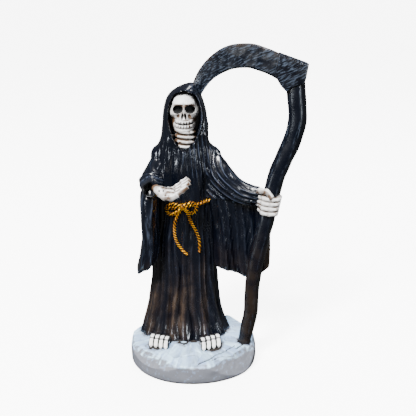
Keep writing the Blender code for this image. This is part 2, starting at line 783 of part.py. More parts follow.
def make_scythe():
    """The shaft, the blade that curves from it into the hood, and the block between."""
    count = 17
    spots = [at(*along(SHAFT_PATH, i / count)) for i in range(count + 1)]
    growth = SHAFT_WIDTH_TOP - SHAFT_WIDTH_FOOT
    radii = [(SHAFT_WIDTH_FOOT + growth * i / count) / 2 for i in range(count + 1)]
    tube("scythe_shaft", spots, radii, BLACK, resolution=2)
    count = 13
    spots = [along(BLADE_PATH, i / count) for i in range(count + 1)]
    rings = []
    for i, (x, y, z, half) in enumerate(spots):
        ahead = Vector(spots[min(i + 1, count)][:3]) - Vector(spots[max(i - 1, 0)][:3])
        across = ahead.cross(Vector((0.0, -1.0, 0.0))).normalized()
        out = ahead.cross(across).normalized()
        # From the thick back of the blade to its thin edge.
        face = [(1.0, 0.5), (0.84, 1.0), (0.0, 0.8), (-0.86, 0.42), (-1.0, 0.12)]
        section = face + [(share, -thick) for share, thick in reversed(face)]
        rings.append(
            [
                at(x, y, z) - across * (half * share * UNIT) + out * (BLADE_THICKNESS / 2 * thick)
                for share, thick in section
            ]
        )
    keep("scythe_blade", loft(rings), BLACK)
    bm = bmesh.new()
    outline = [bm.verts.new(at(x, BLOCK_BACK, z)) for x, z in BLOCK_OUTLINE]
    back = bm.faces.new(outline)
    grown = bmesh.ops.extrude_face_region(bm, geom=[back])["geom"]
    front = [v for v in grown if isinstance(v, bmesh.types.BMVert)]
    bmesh.ops.translate(bm, verts=front, vec=(0.0, (BLOCK_FRONT - BLOCK_BACK) * UNIT, 0.0))
    rims = [e for e in bm.edges if abs(e.verts[0].co.y - e.verts[1].co.y) < 1e-6]
    bmesh.ops.bevel(
        bm,
        geom=rims,
        offset=BLOCK_CHAMFER,
        affect="EDGES",
        segments=1,
        profile=0.5,
        material=-1,
    )
    keep("scythe_block", bm, BLACK)


def main():
    for obj in list(bpy.data.objects):
        bpy.data.objects.remove(obj)
    for name in ("santa_muerte_statue", "statue_forms", "statue_cutters", "skull_cutters"):
        bpy.context.scene.collection.children.link(bpy.data.collections.new(name))
    statue = make_robe()
    make_base()
    make_sleeves()
    make_skull()
    make_open_hand()
    make_fist()
    make_feet()
    make_rope()
    make_scythe()
    for operation, collection in (("DIFFERENCE", "statue_cutters"), ("UNION", "statue_forms")):
        step = statue.modifiers.new(operation.lower(), "BOOLEAN")
        step.operation = operation
        step.operand_type = "COLLECTION"
        step.collection = bpy.data.collections[collection]
        step.solver = "EXACT"
        step.material_mode = "TRANSFER"
    for obj in bpy.data.objects:
        obj.data.shade_smooth()
        obj.data.set_sharp_from_angle(angle=math.radians(35.0))


main()
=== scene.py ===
"""Looks of the painted resin statue: a robed skeleton with a scythe on a rock base.

The casting is one solid, so each piece here is one painted region of it and stands
for that solid. Every form is drawn in millimetres of the statue, with the origin in
the middle of the base's underside, and takes its scale from the frame.
"""

import logging
import math
from dataclasses import dataclass, field
from enum import Enum
from typing import Callable, Optional, Sequence

import bmesh
import bpy
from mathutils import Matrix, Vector, noise


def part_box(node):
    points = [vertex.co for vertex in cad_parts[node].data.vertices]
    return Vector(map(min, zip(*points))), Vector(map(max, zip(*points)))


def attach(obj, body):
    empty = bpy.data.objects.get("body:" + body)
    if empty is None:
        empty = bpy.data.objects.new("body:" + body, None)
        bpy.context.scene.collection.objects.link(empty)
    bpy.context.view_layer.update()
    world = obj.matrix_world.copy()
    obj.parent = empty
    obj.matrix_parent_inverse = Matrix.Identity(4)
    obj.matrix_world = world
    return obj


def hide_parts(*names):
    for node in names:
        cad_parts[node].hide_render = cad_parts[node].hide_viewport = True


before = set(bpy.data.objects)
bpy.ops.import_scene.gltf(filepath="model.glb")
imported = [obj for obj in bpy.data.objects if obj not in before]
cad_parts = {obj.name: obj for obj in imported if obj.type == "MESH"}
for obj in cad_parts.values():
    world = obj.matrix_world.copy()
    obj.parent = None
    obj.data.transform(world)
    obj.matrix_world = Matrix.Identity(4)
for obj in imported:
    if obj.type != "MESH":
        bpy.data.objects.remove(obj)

LOG = logging.getLogger("statue")
NODE = "statue"
BODY = "root"
MASKS = "paint_masks"
STROKES = "brush_strokes"

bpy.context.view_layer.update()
LOW, HIGH = (Vector(corner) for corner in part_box(NODE))

# The statue as drawn: its whole height, and the base under the figure.
DRAWN_HEIGHT = 199.5
BASE_THICKNESS = 12.5
BASE_HALF_WIDTH = 40.75
BASE_HALF_DEPTH = 37.25
UNIT = (HIGH.z - LOW.z) / DRAWN_HEIGHT

# How much wider than long a brush stroke is, as a share.
STROKE_LENGTH = 0.14
# Points closer than this become one, and steps in which a form's girth is measured.
JOIN_DISTANCE = 2e-6
GIRTH_STEPS = 24
# How far along a curve, as a share, its direction is read.
AHEAD = 0.01
FORWARD = Vector((0.0, -1.0, 0.0))
UPWARD = Vector((0.0, 0.0, 1.0))

Rows = Sequence[tuple[float, ...]]
Colour = tuple[float, float, float]
Spot = tuple[float, float, float]
# Where a point of a skin lies, and its masks: brown washes together with painted shade and painted warm
# reflections, dry brushing together with painted highlights, and black.
Dab = tuple[Vector, float, float, float]
Shape = Callable[[float, float], Dab]


class Slot(Enum):
    """The names of the material slots."""

    BLACK = "black_paint"
    BONE = "bone_paint"
    GOLD = "gold_paint"
    STONE = "stone_paint"


# Small functions that the forms are drawn with.


def ease(low: float, high: float, value: float) -> float:
    """Goes smoothly from 0 at low to 1 at high."""
    share = min(1.0, max(0.0, (value - low) / (high - low)))
    return share * share * (3.0 - 2.0 * share)


def bell(distance: float, width: float) -> float:
    """1 where distance is 0, falling away smoothly over width."""
    return math.exp(-((distance / width) ** 2))


def ridge(turns: float, sharpness: float = 1.0) -> float:
    """A fold's profile: 1 on each whole turn, 0 between, narrower when sharper."""
    return (0.5 + 0.5 * math.cos(math.tau * turns)) ** sharpness


def rough(x: float, y: float, z: float, size: float) -> float:
    """Smooth unevenness from -1 to 1 with lumps of about this size."""
    return noise.noise(Vector((x, y, z)) / size)


def run(spots: Sequence[Vector]) -> float:
    """The length of a route through spots."""
    return sum((b - a).length for a, b in zip(spots, spots[1:]))


def at(x: float, y: float, z: float) -> Vector:
    """A point of the figure, its z counted from the top of the base, in metres."""
    return Vector((x, y, z + BASE_THICKNESS)) * UNIT


class Track:
    """A smooth curve through rows of numbers, read by the first of each row."""

    def __init__(self, rows: Rows) -> None:
        """Keeps the rows in order.

        Args:
            rows: Where each row stands, then the values there.
        """
        self.rows = sorted(rows)
        self.known: dict[float, list[float]] = {}

    def __call__(self, where: float) -> list[float]:
        """The values at a place.

        Args:
            where: The place, held inside the first and the last row.

        Returns:
            The row's values without the place itself.
        """
        if where not in self.known:
            self.known[where] = self._read(where)
        return self.known[where]

    def _read(self, where: float) -> list[float]:
        """Works out the values at a place by cubic steps without overshoot."""
        rows = self.rows
        where = min(max(where, rows[0][0]), rows[-1][0])
        i = max(k for k in range(len(rows) - 1) if rows[k][0] <= where)
        before, low, high = rows[max(i - 1, 0)], rows[i], rows[i + 1]
        after = rows[min(i + 2, len(rows) - 1)]
        step = high[0] - low[0]
        t = (where - low[0]) / step
        values = []
        for a, b, c, d in zip(before[1:], low[1:], high[1:], after[1:]):
            slope_low = 0.0 if (b - a) * (c - b) <= 0 else (c - a) / (high[0] - before[0]) * step
            slope_high = 0.0 if (c - b) * (d - c) <= 0 else (d - b) / (after[0] - low[0]) * step
            values.append(
                (2 * t**3 - 3 * t**2 + 1) * b
                + (t**3 - 2 * t**2 + t) * slope_low
                + (3 * t**2 - 2 * t**3) * c
                + (t**3 - t**2) * slope_high
            )
        return values


def heading(track: Track, share: float) -> Vector:
    """The direction at a share of a curve whose rows begin with x, y and z."""
    ahead, before = track(min(1.0, share + AHEAD)), track(max(0.0, share - AHEAD))
    return (Vector(ahead[:3]) - Vector(before[:3])).normalized()


class Limb:
    """A form swept along stations with an elliptical section."""

    def __init__(self, stations: Rows, squareness: float = 1.0) -> None:
        """Keeps the route.

        Args:
            stations: Share of the limb, x, y, z, half height, half thickness.
            squareness: 1 for an ellipse, less for a fuller section.
        """
        self.track = Track(stations)
        self.squareness = squareness
        self.known: dict[float, tuple[Vector, Vector, Vector, float, float]] = {}

    def section(self, share: float) -> tuple[Vector, Vector, Vector, float, float]:
        """The middle, the up and side directions and the half sizes at a share."""
        if share not in self.known:
            x, y, z, half_height, half_thick = self.track(share)
            centre = Vector((x, y, z))
            ahead = Vector(self.track(min(1.0, share + 2 * AHEAD))[:3])
            ahead -= Vector(self.track(max(0.0, share - 2 * AHEAD))[:3])
            side = ahead.cross(UPWARD).normalized()
            up = side.cross(ahead.normalized())
            self.known[share] = (centre, up, side, half_height, half_thick)
        return self.known[share]

    def point(self, angle: float, share: float, push: float = 0.0) -> Vector:
        """A point of the limb's skin in drawn units.

        Args:
            angle: Round the limb, 0 on its upper side.
            share: Along the limb, from 0 to 1.
            push: How far the point stands proud.

        Returns:
            The point, still in millimetres of the figure.
        """
        centre, up, side, half_height, half_thick = self.section(share)
        cos, sin = math.cos(angle), math.sin(angle)
        rise = math.copysign(abs(cos) ** self.squareness, cos)
        aside = math.copysign(abs(sin) ** self.squareness, sin)
        return centre + up * ((half_height + push) * rise) + side * ((half_thick + push) * aside)


# Meshes.


def skin(columns: int, rows: int, shape: Shape) -> bmesh.types.BMesh:
    """Wraps a grid round a form, closes its seam and fills its ends.

    Args:
        columns: Faces round the form.
        rows: Faces along it.
        shape: Gives the place and the masks for shares round and along the form.

    Returns:
        The closed skin, with its masks in a colour layer.
    """
    bm = bmesh.new()
    masks = bm.verts.layers.float_color.new(MASKS)
    strokes = bm.verts.layers.float_vector.new(STROKES)
    steps = [k / GIRTH_STEPS for k in range(GIRTH_STEPS + 1)]
    girth = run([shape(step, 0.5)[0] for step in steps]) / math.tau / UNIT
    length = run([shape(0.25, step)[0] for step in steps]) / UNIT
    bmesh.ops.create_grid(bm, x_segments=columns, y_segments=rows, size=0.5)
    for vert in bm.verts:
        across = round((vert.co.x + 0.5) * columns) / columns
        along = round((vert.co.y + 0.5) * rows) / rows
        place, wash, rub, soot = shape(across, along)
        vert.co = place
        vert[masks] = (wash, rub, soot, 1.0)
        turn = math.tau * across
        ring = Vector((math.cos(turn), math.sin(turn))) * girth
        vert[strokes] = (*ring, length * along * STROKE_LENGTH)
    bmesh.ops.remove_doubles(bm, verts=bm.verts, dist=JOIN_DISTANCE)
    rims = [edge for edge in bm.edges if edge.is_boundary]
    bmesh.ops.holes_fill(bm, edges=rims, sides=0)
    bmesh.ops.recalc_face_normals(bm, faces=bm.faces)
    return bm


def slant(bm: bmesh.types.BMesh) -> None:
    """Makes the brush strokes of a mesh slant up to the right."""
    strokes = bm.verts.layers.float_vector[STROKES]
    for vert in bm.verts:
        x, y, z = vert.co / UNIT
        across, along = 0.45 * x - 0.9 * z, 0.9 * x + 0.45 * z
        vert[strokes] = (0.8 * across, 0.8 * y, along * STROKE_LENGTH)


def tint(bm: bmesh.types.BMesh, wash: float = 0.0, rub: float = 0.0, soot: float = 0.0) -> None:
    """Gives every point of a mesh the same masks, and slanting strokes."""
    masks = bm.verts.layers.float_color.new(MASKS)
    bm.verts.layers.float_vector.new(STROKES)
    for vert in bm.verts:
        vert[masks] = (wash, rub, soot, 1.0)
    slant(bm)


def settle(name: str, bm: bmesh.types.BMesh, paint: "Paint", sharp: float = 50.0) -> bpy.types.Object:
    """Makes a finished piece of a mesh, hangs it on its body and hides the solid it stands for.

    Args:
        name: The piece's name.
        bm: Its closed mesh, freed here.
        paint: Its finish.
        sharp: Edges that turn by more than this many degrees stay crisp.

    Returns:
        The piece.
    """
    mesh = bpy.data.meshes.new(name)
    bm.to_mesh(mesh)
    bm.free()
    mesh.materials.append(paint.material())
    mesh.shade_smooth()
    mesh.set_sharp_from_angle(angle=math.radians(sharp))
    piece = bpy.data.objects.new(name, mesh)
    bpy.context.scene.collection.objects.link(piece)
    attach(piece, BODY)
    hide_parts(NODE)
    LOG.info("%s: %d faces", name, len(mesh.polygons))
    return piece


# Finishes.


class Wires:
    """Adds nodes to a node tree and joins them."""

    def __init__(self, tree: bpy.types.NodeTree) -> None:
        """Keeps the tree."""
        self.tree = tree

    def node(self, kind: str, settings: Optional[dict] = None, **inputs: object) -> bpy.types.Node:
        """Adds a node.

        Args:
            kind: Its type without the ShaderNode prefix, or GroupInput or GroupOutput.
            settings: Its properties by name.
            inputs: A value or an output for each input, by name with _ for a space.

        Returns:
            The node.
        """
        prefix = "Node" if kind.startswith("Group") and kind != "Group" else "ShaderNode"
        node = self.tree.nodes.new(prefix + kind)
        for key, value in (settings or {}).items():
            setattr(node, key, value)
        for key, value in inputs.items():
            self.feed(node.inputs[int(key[1:]) if key[1:].isdigit() else key.replace("_", " ")], value)
        return node

    def feed(self, socket: bpy.types.NodeSocket, value: object) -> None:
        """Joins an output to a socket, or sets the socket to a value."""
        if isinstance(value, bpy.types.NodeSocket):
            self.tree.links.new(value, socket)
        else:
            socket.default_value = value

    def math(self, operation: str, a: object, b: object = 0.0, clamp: bool = False) -> object:
        """The output of a Math node."""
        settings = {"operation": operation, "use_clamp": clamp}
        return self.node("Math", settings, _0=a, _1=b).outputs[0]

    def weigh(self, a: object, b: object, share: float) -> object:
        """The sum of a and b, a taken by the share and b by the rest."""
        rest = self.math("MULTIPLY", b, 1.0 - share)
        return self.math("ADD", self.math("MULTIPLY", a, share), rest)

    def mix(self, share: object, a: object, b: object) -> object:
        """The colour that goes from a to b with the share."""
        node = self.node("Mix", {"data_type": "RGBA"})
        for index, value in ((0, share), (6, a), (7, b)):
            self.feed(node.inputs[index], value)
        return node.outputs[2]

    def span(self, value: object, low: float, high: float) -> object:
        """A value stretched so that low becomes 0 and high 1, smoothly and held there."""
        node = self.node("MapRange", {"interpolation_type": "SMOOTHSTEP"})
        for index, item in ((0, value), (1, low), (2, high)):
            self.feed(node.inputs[index], item)
        return node.outputs[0]


def paint_layers() -> bpy.types.NodeTree:
    """The group that lays brown washes with painted shade and painted warm reflections, dry brushing with
    painted highlights, and black over a base colour.

    Returns:
        The group. It puts out the colour, how worn the gloss is and a height.
    """
    name = "paint_layers"
    if name in bpy.data.node_groups:
        return bpy.data.node_groups[name]
    tree = bpy.data.node_groups.new(name, "ShaderNodeTree")
    for socket, kind in (
        ("Masks", "NodeSocketColor"),
        ("Base", "NodeSocketColor"),
        ("Wash", "NodeSocketColor"),
        ("Rubbed", "NodeSocketColor"),
        ("Black", "NodeSocketColor"),
        ("Lump Scale", "NodeSocketFloat"),
        ("Grain Scale", "NodeSocketFloat"),
        ("Strokes", "NodeSocketVector"),
        ("Stroke Scale", "NodeSocketFloat"),
        ("Shade", "NodeSocketFloat"),
        ("Sparse", "NodeSocketFloat"),
    ):
        tree.interface.new_socket(name=socket, in_out="INPUT", socket_type=kind)
    for socket, kind in (
        ("Color", "NodeSocketColor"),
        ("Wear", "NodeSocketFloat"),
        ("Height", "NodeSocketFloat"),
    ):
        tree.interface.new_socket(name=socket, in_out="OUTPUT", socket_type=kind)
    wires = Wires(tree)
    given = wires.node("GroupInput").outputs
    place = wires.node("TexCoord").outputs["Object"]
    masks = wires.node("SeparateColor", Color=given["Masks"]).outputs
    lumps = wires.node("TexNoise", Vector=place, Scale=given["Lump Scale"], Detail=3.0).outputs[0]
    strokes = wires.node(
        "TexNoise", Vector=given["Strokes"], Scale=given["Stroke Scale"], Detail=4.0
    ).outputs[0]
    grain = wires.node("TexNoise", Vector=place, Scale=given["Grain Scale"], Detail=3.0).outputs[0]
    uneven = wires.math("ADD", wires.span(lumps, 0.3, 0.7), 0.35)
    # The first mask lays brown washes, painted shade and painted warm reflections; the second lays dry
    # brushing and painted highlights.
    wash = wires.math("MULTIPLY", masks[0], uneven, clamp=True)
    rubbed = wires.math("MULTIPLY", masks[1], wires.span(strokes, given["Sparse"], 0.66), clamp=True)
    ragged = wires.math("MULTIPLY", wires.math("SUBTRACT", grain, 0.5), 0.5)
    edge = wires.math("ADD", masks[2], ragged)
    black = wires.span(edge, 0.38, 0.62)
    shade = wires.math("MULTIPLY", wires.span(strokes, 0.38, 0.72), given["Shade"])
    colour = wires.mix(shade, given["Base"], given["Wash"])
    colour = wires.mix(wash, colour, given["Wash"])
    colour = wires.mix(rubbed, colour, given["Rubbed"])
    colour = wires.mix(black, colour, given["Black"])
    wear = wires.math("ADD", wires.weigh(lumps, grain, 0.6), black)
    wires.node("GroupOutput", Color=colour, Wear=wear, Height=wires.weigh(strokes, grain, 0.5))
    return tree


@dataclass(frozen=True)
class Paint:
    """A brushed finish of the casting: a base colour and what lies over it."""

    name: str
    slot: Slot
    base: Colour
    # Colour of the brown washes, also used for painted shade and painted warm reflections.
    wash: Colour
    # Colour of the dry brushing, also used for painted highlights.
    rubbed: Colour
    black: Colour = (0.0016, 0.0016, 0.0022)
    shade: float = 0.0
    sparse: float = 0.36
    specular: float = 0.5
    glossiest: float = 0.2
    dullest: float = 0.4
    metallic: float = 0.0
    coat: float = 0.0
    coat_roughness: float = 0.1
    lump: float = 7.0
    grain: float = 0.9
    stroke: float = 1.1
    relief: float = 0.05

    def material(self) -> bpy.types.Material:
        """The Principled material of this finish, made once.

        Returns:
            The material.
        """
        if self.name in bpy.data.materials:
            return bpy.data.materials[self.name]
        material = bpy.data.materials.new(self.name)
        material.use_nodes = True
        material.diffuse_color = (*self.base, 1.0)
        wires = Wires(material.node_tree)
        shader = material.node_tree.nodes["Principled BSDF"]
        masks = wires.node("Attribute", {"attribute_name": MASKS}).outputs["Color"]
        layers = wires.node(
            "Group",
            {"node_tree": paint_layers()},
            Masks=masks,
            Base=(*self.base, 1.0),
            Wash=(*self.wash, 1.0),
            Rubbed=(*self.rubbed, 1.0),
            Black=(*self.black, 1.0),
            Lump_Scale=1.0 / (self.lump * UNIT),
            Grain_Scale=1.0 / (self.grain * UNIT),
            Strokes=wires.node("Attribute", {"attribute_name": STROKES}).outputs["Vector"],
            Stroke_Scale=1.0 / self.stroke,
            Shade=self.shade,
            Sparse=self.sparse,
        )
        wear = wires.node("MapRange", {"clamp": False}, _0=layers.outputs["Wear"], _1=0.35, _2=0.65)
        wear.inputs[3].default_value = self.glossiest
        wear.inputs[4].default_value = self.dullest
        bump = wires.node("Bump", Height=layers.outputs["Height"], Strength=1.0)
        bump.inputs["Distance"].default_value = self.relief * UNIT
        wires.feed(shader.inputs["Base Color"], layers.outputs["Color"])
        wires.feed(shader.inputs["Roughness"], wear.outputs[0])
        wires.feed(shader.inputs["Normal"], bump.outputs[0])
        shader.inputs["Metallic"].default_value = self.metallic
        shader.inputs["Specular IOR Level"].default_value = self.specular
        shader.inputs["Coat Weight"].default_value = self.coat
        shader.inputs["Coat Roughness"].default_value = self.coat_roughness
        return material


# The robe's brown is partly brown paint and partly a painted warm reflection low down; its lighter
# blue-grey is painted highlights on the fold crests.
ROBE_BLACK = Paint(
    "glossy_black_robe",
    Slot.BLACK,
    base=(0.0013, 0.0022, 0.0052),
    wash=(0.038, 0.025, 0.017),
    rubbed=(0.036, 0.046, 0.070),
    glossiest=0.13,
    dullest=0.28,
    relief=0.03,
)
# The scythe's brown is a painted warm reflection along the blade's inner edge, and low on the shaft partly
# brown paint and partly a painted warm reflection; its lighter colour is dry brushing.
SCYTHE_BLACK = Paint(
    "brushed_black_scythe",
    Slot.BLACK,
    base=(0.0010, 0.0018, 0.0046),
    wash=(0.016, 0.010, 0.006),
    rubbed=(0.042, 0.055, 0.078),
    sparse=0.49,
    specular=0.28,
    glossiest=0.22,
    dullest=0.36,
    stroke=0.55,
    relief=0.07,
)
# The bone's brown also gives painted shade on the skull's sides and under its chin, on the neck's sides,
# and under the fingers and the palm; its white is a painted highlight on the crown and is also laid over
# the toes.
BONE_WHITE = Paint(
    "bone_white",
    Slot.BONE,
    base=(0.85, 0.85, 0.84),
    wash=(0.085, 0.048, 0.027),
    rubbed=(0.93, 0.95, 0.97),
    shade=0.26,
    glossiest=0.34,
    dullest=0.52,
    relief=0.06,
)
# The rope's bright yellow is painted highlights on the crests of its strands.
ROPE_GOLD = Paint(
    "gold_rope",
    Slot.GOLD,
    base=(0.42, 0.145, 0.0002),
    wash=(0.012, 0.004, 0.0006),
    rubbed=(1.0, 0.53, 0.0004),
    specular=0.3,
    glossiest=0.24,
    dullest=0.42,
    metallic=0.55,
    grain=0.5,
    relief=0.03,
)
# The rock's grey gives painted shade on its side, its chipped facets and its low flakes, as well as the
# dirt and the scored lines; its pale blue gives painted highlights on the rim, the chip edges, the flake
# edges and the raised flakes.
ROCK_PAINT = Paint(
    "icy_rock",
    Slot.STONE,
    base=(0.28, 0.41, 0.63),
    wash=(0.138, 0.145, 0.170),
    rubbed=(0.55, 0.80, 1.0),
    black=(0.012, 0.009, 0.007),
    shade=0.36,
    stroke=2.0,
    glossiest=0.42,
    dullest=0.66,
    lump=2.6,
    relief=0.12,
)


# Robe and hood.


@dataclass
class Robe:
    """The long robe with its hood, open in front of the face."""

    columns: int = 300
    rows: int = 320
    # It is drawn from inside the rock up to the hood's top, its rows closer low down.
    bottom: float = -3.0
    top: float = 164.0
    row_crowding: float = 0.82
    hem_folds: float = 14.0
    hem_fold_depth: float = 2.6
    body_fold_depth: float = 0.7
    hood_fold_depth: float = 0.35
    chest_fold_depth: float = 0.75
    pleats: float = 26.0
    pleat_depth: float = 0.62
    # How many fine folds there are for each pleat, and how deep they are.
    fine_folds: float = 2.3
    fine_fold_depth: float = 0.30
    rim_fold_depth: float = 0.85
    rim_fold_pitch: float = 2.7
    # Up to this height the lowest rim fold leans outward as it goes down.
    rim_fold_turn: float = 134.0
    rim_fold_start: float = 7.4
    rim_fold_lean: float = 0.10
    waist: float = 91.0
    # In front the robe runs straight from the chest to the hood between these heights.
    shoulder_low: float = 112.0
    shoulder_high: float = 136.0
    opening_x: float = -3.8
    streak_x: float = 7.8
    hollow_back: float = 5.0
    # How far the hood's rim stands forward, and a distance that is nowhere near it.
    lip: float = 0.45
    far_away: float = 30.0
    # The pointed fold over the brow: middle, foot, half width, height.
    peak: tuple[float, float, float, float] = (-0.4, 160.6, 3.2, 3.0)
    # Height, centre x, centre y, half width, depth in front of the centre, depth behind.
    body: Track = field(
        default_factory=lambda: Track(
            (
                (-3.0, -5.2, 10.0, 28.0, 20.4, 20.0),
                (1.0, -5.2, 10.0, 28.2, 20.4, 20.5),
                (6.5, -5.3, 10.0, 26.8, 18.8, 19.6),
                (13.0, -5.5, 10.0, 24.6, 16.8, 18.0),
                (21.0, -5.5, 10.0, 22.5, 15.4, 17.0),
                (29.0, -5.4, 10.0, 21.4, 14.8, 16.5),
                (39.0, -5.2, 10.0, 20.5, 14.2, 16.0),
                (62.0, -4.8, 9.6, 19.2, 13.6, 15.4),
                (90.0, -4.3, 9.0, 17.6, 12.4, 14.4),
                (103.0, -4.1, 8.6, 18.6, 13.0, 14.4),
                (113.0, -4.0, 8.2, 20.2, 13.4, 13.8),
                (121.0, -3.9, 8.0, 20.9, 13.2, 13.2),
                (124.0, -4.0, 7.9, 20.0, 12.8, 13.0),
                (126.8, -4.4, 7.8, 16.4, 12.6, 12.8),
                (130.0, -4.3, 7.6, 14.7, 13.0, 12.6),
                (134.5, -3.9, 7.4, 14.1, 13.6, 12.6),
                (140.6, -3.7, 7.2, 13.6, 14.2, 12.8),
                (146.7, -3.9, 7.0, 12.8, 14.4, 12.8),
                (152.6, -4.1, 7.0, 11.4, 14.0, 12.0),
                (156.0, -3.9, 7.0, 10.2, 13.2, 10.8),
                (158.8, -3.3, 7.0, 8.6, 11.8, 9.2),
                (161.2, -2.2, 6.6, 6.4, 9.2, 7.0),
                (163.2, -0.8, 6.0, 3.6, 5.6, 4.4),
                (164.0, -0.4, 5.6, 1.4, 2.4, 1.8),
            )
        )
    )
    # Height and half width of the hood's opening.
    opening: Track = field(
        default_factory=lambda: Track(
            (
                (127.2, 1.2),
                (128.4, 3.8),
                (130.6, 5.8),
                (134.0, 7.2),
                (140.0, 9.0),
                (147.0, 9.7),
                (152.0, 9.0),
                (156.0, 7.5),
                (158.6, 5.4),
                (160.2, 1.6),
            )
        )
    )

    def large_fold(self, angle: float, z: float) -> float:
        """How far the robe's large folds stand out, as on the solid."""
        warped = angle + 0.14 * math.sin(2 * angle + 0.7) + 0.05 * math.sin(5 * angle + z * 0.012)
        wave = abs(math.sin(self.hem_folds / 2 * warped + 0.4)) ** 0.8 - 0.62
        depth = self.body_fold_depth
        depth += (self.hem_fold_depth - self.body_fold_depth) * ease(80.0, 2.0, z)
        top = math.sin(12 * angle + 0.02 * z) * self.hood_fold_depth * ease(self.top, 140.0, z)
        aside = ease(0.55, 0.95, abs(math.remainder(angle, math.tau)))
        chest = math.sin(11 * angle + 0.03 * z) * self.chest_fold_depth
        push = wave * depth * ease(126.0, 112.0, z) + 0.5 * top * aside * ease(114.0, 130.0, z)
        return push + chest * ease(88.0, 102.0, z) * ease(127.0, 117.0, z)

    def from_opening(self, x: float, z: float) -> float:
        """How far a point of the front lies outside the opening, less than 0 inside it."""
        foot, top = self.opening.rows[0][0], self.opening.rows[-1][0]
        if foot <= z <= top:
            return abs(x - self.opening_x) - self.opening(z)[0]
        beyond = max(z - top, foot - z)
        return math.hypot(beyond, max(0.0, abs(x - self.opening_x) - 1.0))

    def point(self, angle: float, z: float, proud: float = 0.0) -> Vector:
        """A point of the robe before its fine carving. Angle 0 faces front."""
        cx, cy, half, front, back = self.body(z)
        deep = front if math.cos(angle) > 0 else back
        push = self.large_fold(angle, z) + proud
        if self.shoulder_low < z < self.shoulder_high:
            share = (z - self.shoulder_low) / (self.shoulder_high - self.shoulder_low)
            low, high = self.body(self.shoulder_low)[2], self.body(self.shoulder_high)[2]
            half += (low + (high - low) * share - half) * ease(1.35, 0.95, abs(angle))
        return Vector((cx + (half + push) * math.sin(angle), cy - (deep + push) * math.cos(angle), z))

    def front(self, x: float, z: float, proud: float) -> Vector:
        """The point of the robe's front at x and z, standing proud of it."""
        cx, _, half, _, _ = self.body(z)
        angle = math.asin(max(-0.98, min(0.98, (x - cx) / half)))
        return Vector((x, self.point(angle, z, proud).y, z))

    def skirt_folds(self, angle: float, z: float, place: Vector) -> tuple[float, float]:
        """The pleats of the skirt: how far they stand out, and how near a crest is."""
        x, y, _ = place
        drift = 0.10 * rough(x, y, z * 0.35, 9.0) + 0.05 * rough(x, y, z * 0.3 + 40.0, 4.0)
        lean = 0.0042 * (z - 40.0) * ease(0.35, 1.0, angle)
        turns = self.pleats * (angle + drift + lean) / math.tau
        pleat = ridge(turns, 1.5)
        fine = ridge(self.fine_folds * turns + 0.3 * rough(x, y, z * 0.2, 7.0), 1.8)
        low = ease(112.0, 84.0, z)
        gather = 1.0 + 0.6 * bell(z - self.waist, 9.0)
        push = (self.pleat_depth * (pleat - 0.4) + self.fine_fold_depth * fine) * low * gather
        return push, pleat * low

    def rim_folds(self, angle: float, z: float, place: Vector) -> tuple[float, float]:
        """The long folds beside the face and down the chest, told as the skirt's are."""
        x, y, _ = place
        wander = 0.8 * rough(x, y, z * 0.25, 10.0) + 0.08 * rough(x, y, z * 0.2, 3.5)
        below = self.rim_fold_turn - z
        if below > 0.0:
            beside = self.rim_fold_start + self.rim_fold_lean * below
        else:
            beside = self.opening(z)[0] + 0.4 * ease(0.0, 4.0, -below)
        lane = abs(x - self.opening_x) - beside + 3.2 * ease(0.7, 1.6, abs(angle))
        lines = ridge((lane + wander) / self.rim_fold_pitch, 1.5)
        amount = ease(96.0, 112.0, z) * (0.35 + 0.65 * ease(-0.2, 0.3, angle))
        depth = self.rim_fold_depth * amount * ease(159.0, 152.0, z)
        depth *= 1.0 - 0.65 * bell(abs(angle) - 1.5, 0.4)
        return depth * (lines - 0.35), lines * amount

    def carving(self, angle: float, z: float, place: Vector) -> tuple[float, float]:
        """The fine folds.

        Args:
            angle: Round the robe, 0 in front.
            z: Height.
            place: The point before carving.

        Returns:
            How far the folds stand out, and how much of a ridge the point is on.
        """
        x, y, _ = place
        skirt, pleat = self.skirt_folds(angle, z, place)
        rim, line = self.rim_folds(angle, z, place)
        uneven = 0.22 * rough(x, y, z * 0.3, 7.0) + 0.02 * rough(x, y, z * 0.3, 2.2)
        return skirt + rim + uneven, max(pleat, line)

    def brown(self, angle: float, z: float, place: Vector, crest: float) -> float:
        """The brown low down on the left, in patches, and in one streak: partly brown paint, partly a
        painted warm reflection.
        """
        left = ease(0.7, 0.1, angle)
        patch = 0.3 + 0.7 * ease(-0.25, 0.35, rough(place.x, place.y, z * 0.3, 9.0))
        wash = (0.2 + 0.8 * crest) * ease(74.0, 20.0, z) * (0.15 + 0.85 * left) * patch
        streak = bell(place.x - self.streak_x, 2.4) * ease(64.0, 44.0, z) * ease(0.9, 0.7, abs(angle))
        return max(wash, (0.3 + 0.6 * crest) * streak) * (1.0 - 0.7 * ease(9.0, 2.0, z))

    def rubbed(self, angle: float, z: float, place: Vector, crest: float, outside: float) -> float:
        """Painted highlights on the crests, laid as broken dry-brush strokes, strongest on the right and
        at the collar.
        """
        dark = 0.8 * ease(74.0, 20.0, z) * ease(0.7, 0.1, angle)
        lit = 0.35 + 0.65 * ease(100.0, 118.0, z) * ease(-0.1, 0.25, angle)
        collar = bell(place.x - self.opening_x, 3.0) * ease(127.0, 124.0, z) * ease(112.0, 120.0, z)
        return max(lit * crest**3 * (1.0 - dark) * outside, collar * crest)

